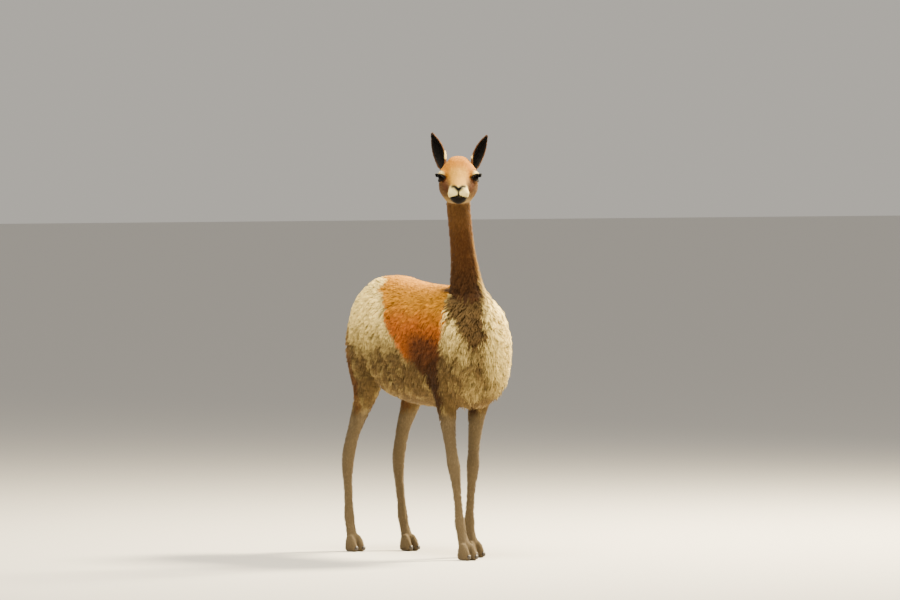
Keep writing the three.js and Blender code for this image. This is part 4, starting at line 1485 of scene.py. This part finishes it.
# Long locks: count, then length, width, thickness, lift and staple pull, then bend, wave, pull and spread
LOCKS = {
    "locks_bib": (3600, (38, 5.0, 2.4, 15, 0.8), 0.4, 0.10, 0.85, 0.05),
    "locks_belly": (1300, (23, 4.5, 2.2, 6, 0.7), 0.4, 0.09, 0.8, 0.0),
    "locks_tail": (500, (46, 6, 2.6, 11, 0.6), 0.4, 0.05, 0.5, 0.0),
    "locks_haunch": (900, (24, 4.4, 2.0, 8, 0.8), 0.5, 0.09, 0.85, 0.0),
}


def lock_regions(body):
    """The corners of the skin where each piece of long locks grows."""
    x, y, z = body.points.T
    torso = body.part == "torso"
    chest = (torso | (body.part == "neck")) & (np.abs(x) < 92)
    hind = torso | np.isin(body.part, ["hind_left", "hind_right"])
    return {
        "locks_bib": chest & (y < -225) & (z > 480) & (z < 815),
        "locks_belly": torso & (z < 530) & (y > -250) & (y < 230),
        "locks_tail": body.part == "tail",
        "locks_haunch": hind & (y > 190) & (z > 560) & (z < 780),
    }


def long_locks(body, chosen, random, longer, count, make, bend, wave, pull, spread):
    """Long wavy locks over the coat."""
    place = body.scatter(chosen, random, count=count)
    place["make"] = fixed_make(len(place["root"]), make[0] * longer, *make[1:])
    place["lie"] = unit(place["lie"] + spread * place["out"])
    return tufts(place, random, rings=5, bend=bend, fall=(0, 0, -1), wave=wave, pull=pull)


def user_length(size, name, text):
    """A length of so many millimetres, for a user to change."""
    return bpy.props.FloatProperty(name=name, description=text, unit="LENGTH", default=size * MM, min=MM)


def user_share(name, text):
    """A factor on what the animal has, for a user to change."""
    kind = bpy.props.FloatProperty
    return kind(name=name, description=text, subtype="FACTOR", default=1.0, min=0.1, max=1.5)


def hue(code, name, text):
    """A colour for a user to change."""
    return bpy.props.FloatVectorProperty(
        name=name, description=text, subtype="COLOR", size=3, min=0, max=1, default=linear(code)
    )


class VicunaSizes(bpy.types.PropertyGroup):
    """The sizes that a user would change"""

    grain: user_length(3.2, "Grain", "Voxel size of the skin")
    lash: user_length(11, "Lashes", "Length of the upper lashes")
    fullness: user_share("Fullness", "How many tufts the coat has, against the full coat")
    locks: user_share("Locks", "Length of the long locks, against the real ones")


class VicunaColours(bpy.types.PropertyGroup):
    """The animal's colours"""

    fawn: hue("B87C10", "Fawn", "Back of the saddle")
    cinnamon: hue("A85A16", "Cinnamon", "Saddle low on the flank")
    stripe: hue("583014", "Stripe", "Dark stripes and tear lines")
    cream: hue("FCE08A", "Cream", "Pale wool")
    # Grey patches on the pale wool, with painted shade lower down and on the chest
    grey_wool: hue("5E4A2A", "Grey wool", "Shaded pale wool")
    # Partly the legs' own colour, partly painted shade under the body
    shin: hue("695A42", "Shin", "Lower legs")
    neck: hue("5C3A1B", "Neck", "Neck and tail")
    # Dark brown, partly painted shade at the neck's foot, down the chest and between chest and belly
    tongue: hue("3A2410", "Tongue", "Foot of the neck and tongue down the chest")
    # Partly paler hair, partly painted light on the neck's lit edge
    fringe: hue("B48C40", "Fringe", "Pale fringe down the left of the neck")
    nape: hue("8A6236", "Nape", "Back of the neck")
    # Painted shade on the lower face, and the throat's greyish brown
    cheek: hue("664828", "Cheek", "Cheeks")
    fawn_face: hue("A86C08", "Face", "Forehead")
    # Partly the bridge's own fawn, partly painted highlight on the muzzle's top
    bridge: hue("BA8A30", "Bridge", "Bridge of the nose")
    brow: hue("FCE08A", "Brow", "Brow over the eye")
    muzzle: hue("FCE898", "Muzzle", "Muzzle")
    # Dark lips, and painted shade on the chin under the muzzle's pads
    lip: hue("0E0905", "Lip", "Lips and chin")
    nose: hue("060403", "Nose", "Nostrils, inside of the ears and rims of the lids")
    iris: hue("120803", "Iris", "Iris of the eye")
    nail: hue("342D27", "Nail", "Nails")


class VICUNA_OT_skin(bpy.types.Operator):
    """Make the skin that takes the place of every node of flesh"""

    bl_idname = "vicuna.skin"
    bl_label = "Skin"

    def execute(self, context):
        skin = skin_body(context.scene.vicuna_sizes.grain)
        names = [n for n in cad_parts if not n.startswith(("eye", "nail", "ear"))]
        finish_piece(skin, "skin", skin_material(), "fleece", *names)
        return {"FINISHED"}


class VICUNA_OT_eyes(bpy.types.Operator):
    """Make the eyeballs, lids and lashes"""

    bl_idname = "vicuna.eyes"
    bl_label = "Eyes"

    def execute(self, context):
        random = np.random.default_rng(SEED + 1)
        lash = tuft_material("lash", "nose")
        skin = bpy.data.materials["skin"]
        for word, side in SIDES.items():
            eye = ball(eye_frame(side)[0], EYE_RADIUS)
            finish_piece(eye, "eyeball_" + word, eye_material(side), "eye", "eye_" + word)
            finish_piece(lid(side), "lid_" + word, skin, "short_coat")
            hairs = lashes(side, random, context.scene.vicuna_sizes.lash / MM)
            finish_piece(hairs, "lashes_" + word, lash, "short_coat")
        return {"FINISHED"}


class VICUNA_OT_ears(bpy.types.Operator):
    """Make the ears and the hair on them"""

    bl_idname = "vicuna.ears"
    bl_label = "Ears"

    def execute(self, context):
        random = np.random.default_rng(SEED + 2)
        cup = ear_material()
        hues = {"back": "neck", "inside": "nose", "edge": "cream"}
        materials = {kind: tuft_material("ear_" + kind, name) for kind, name in hues.items()}
        for word, side in SIDES.items():
            finish_piece(ear(word, side), "ear_cup_" + word, cup, "short_coat", "ear_" + word)
            for kind, row in {**EAR_HAIR, "edge": EAR_EDGE_HAIR[word]}.items():
                fur = ear_tufts(word, side, random, *row)
                finish_piece(fur, f"ear_{kind}_{word}", materials[kind], "short_coat")
        return {"FINISHED"}


class VICUNA_OT_nails(bpy.types.Operator):
    """Make the nails of the toes"""

    bl_idname = "vicuna.nails"
    bl_label = "Nails"

    def execute(self, context):
        horn = plain("nail", context.scene.vicuna_colours.nail, NAIL_ROUGHNESS)
        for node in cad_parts:
            if node.startswith("nail"):
                finish_piece(nail(node), "horn_" + node, horn, "nail", node)
        return {"FINISHED"}


class VICUNA_OT_coat(bpy.types.Operator):
    """Cover the skin with a coat of mesh tufts"""

    bl_idname = "vicuna.coat"
    bl_label = "Coat"

    def execute(self, context):
        sizes = context.scene.vicuna_sizes
        random = np.random.default_rng(SEED)
        body = Skin(bpy.data.objects["skin"])
        material = coat_material()
        for name, (chosen, rings) in coat_regions(body).items():
            place = body.scatter(chosen, random, sizes.fullness)
            piece = tufts(place, random, rings=rings, bend=0.3, fall=(0, 0, -1), wave=0.04)
            finish_piece(piece, name, material, "short_coat" if name in SHORT_COATS else "fleece")
        for name, chosen in lock_regions(body).items():
            piece = long_locks(body, chosen, random, sizes.locks, *LOCKS[name])
            finish_piece(piece, name, material, "fleece")
        return {"FINISHED"}


class VICUNA_OT_stage(bpy.types.Operator):
    """Set up the floor, the lights and the camera"""

    bl_idname = "vicuna.stage"
    bl_label = "Stage"

    def execute(self, context):
        camera()
        studio()
        return {"FINISHED"}


class VICUNA_PT_panel(bpy.types.Panel):
    """Lists the makers in order"""

    bl_idname = "VICUNA_PT_panel"
    bl_label = "Vicuna"
    bl_space_type = "VIEW_3D"
    bl_region_type = "UI"
    bl_category = "Vicuna"

    def draw(self, context):
        for kind in MAKERS:
            self.layout.operator(kind.bl_idname)
        for group in (VicunaSizes, VicunaColours):
            for name in group.__annotations__:
                self.layout.prop(getattr(context.scene, HELD[group]), name)


MAKERS = (VICUNA_OT_stage, VICUNA_OT_skin, VICUNA_OT_eyes, VICUNA_OT_ears, VICUNA_OT_nails, VICUNA_OT_coat)
# The scene's name for each group of properties
HELD = {VicunaSizes: "vicuna_sizes", VicunaColours: "vicuna_colours"}
CLASSES = (*HELD, *MAKERS, VICUNA_PT_panel)


def register():
    for kind in CLASSES:
        bpy.utils.register_class(kind)
    for group, name in HELD.items():
        setattr(bpy.types.Scene, name, bpy.props.PointerProperty(type=group))


def unregister():
    for name in HELD.values():
        delattr(bpy.types.Scene, name)
    for kind in reversed(CLASSES):
        bpy.utils.unregister_class(kind)


def main():
    register()
    bpy.ops.vicuna.stage()
    bpy.ops.vicuna.skin()
    bpy.ops.vicuna.eyes()
    bpy.ops.vicuna.ears()
    bpy.ops.vicuna.nails()
    bpy.ops.vicuna.coat()


if __name__ == "__main__":
    main()
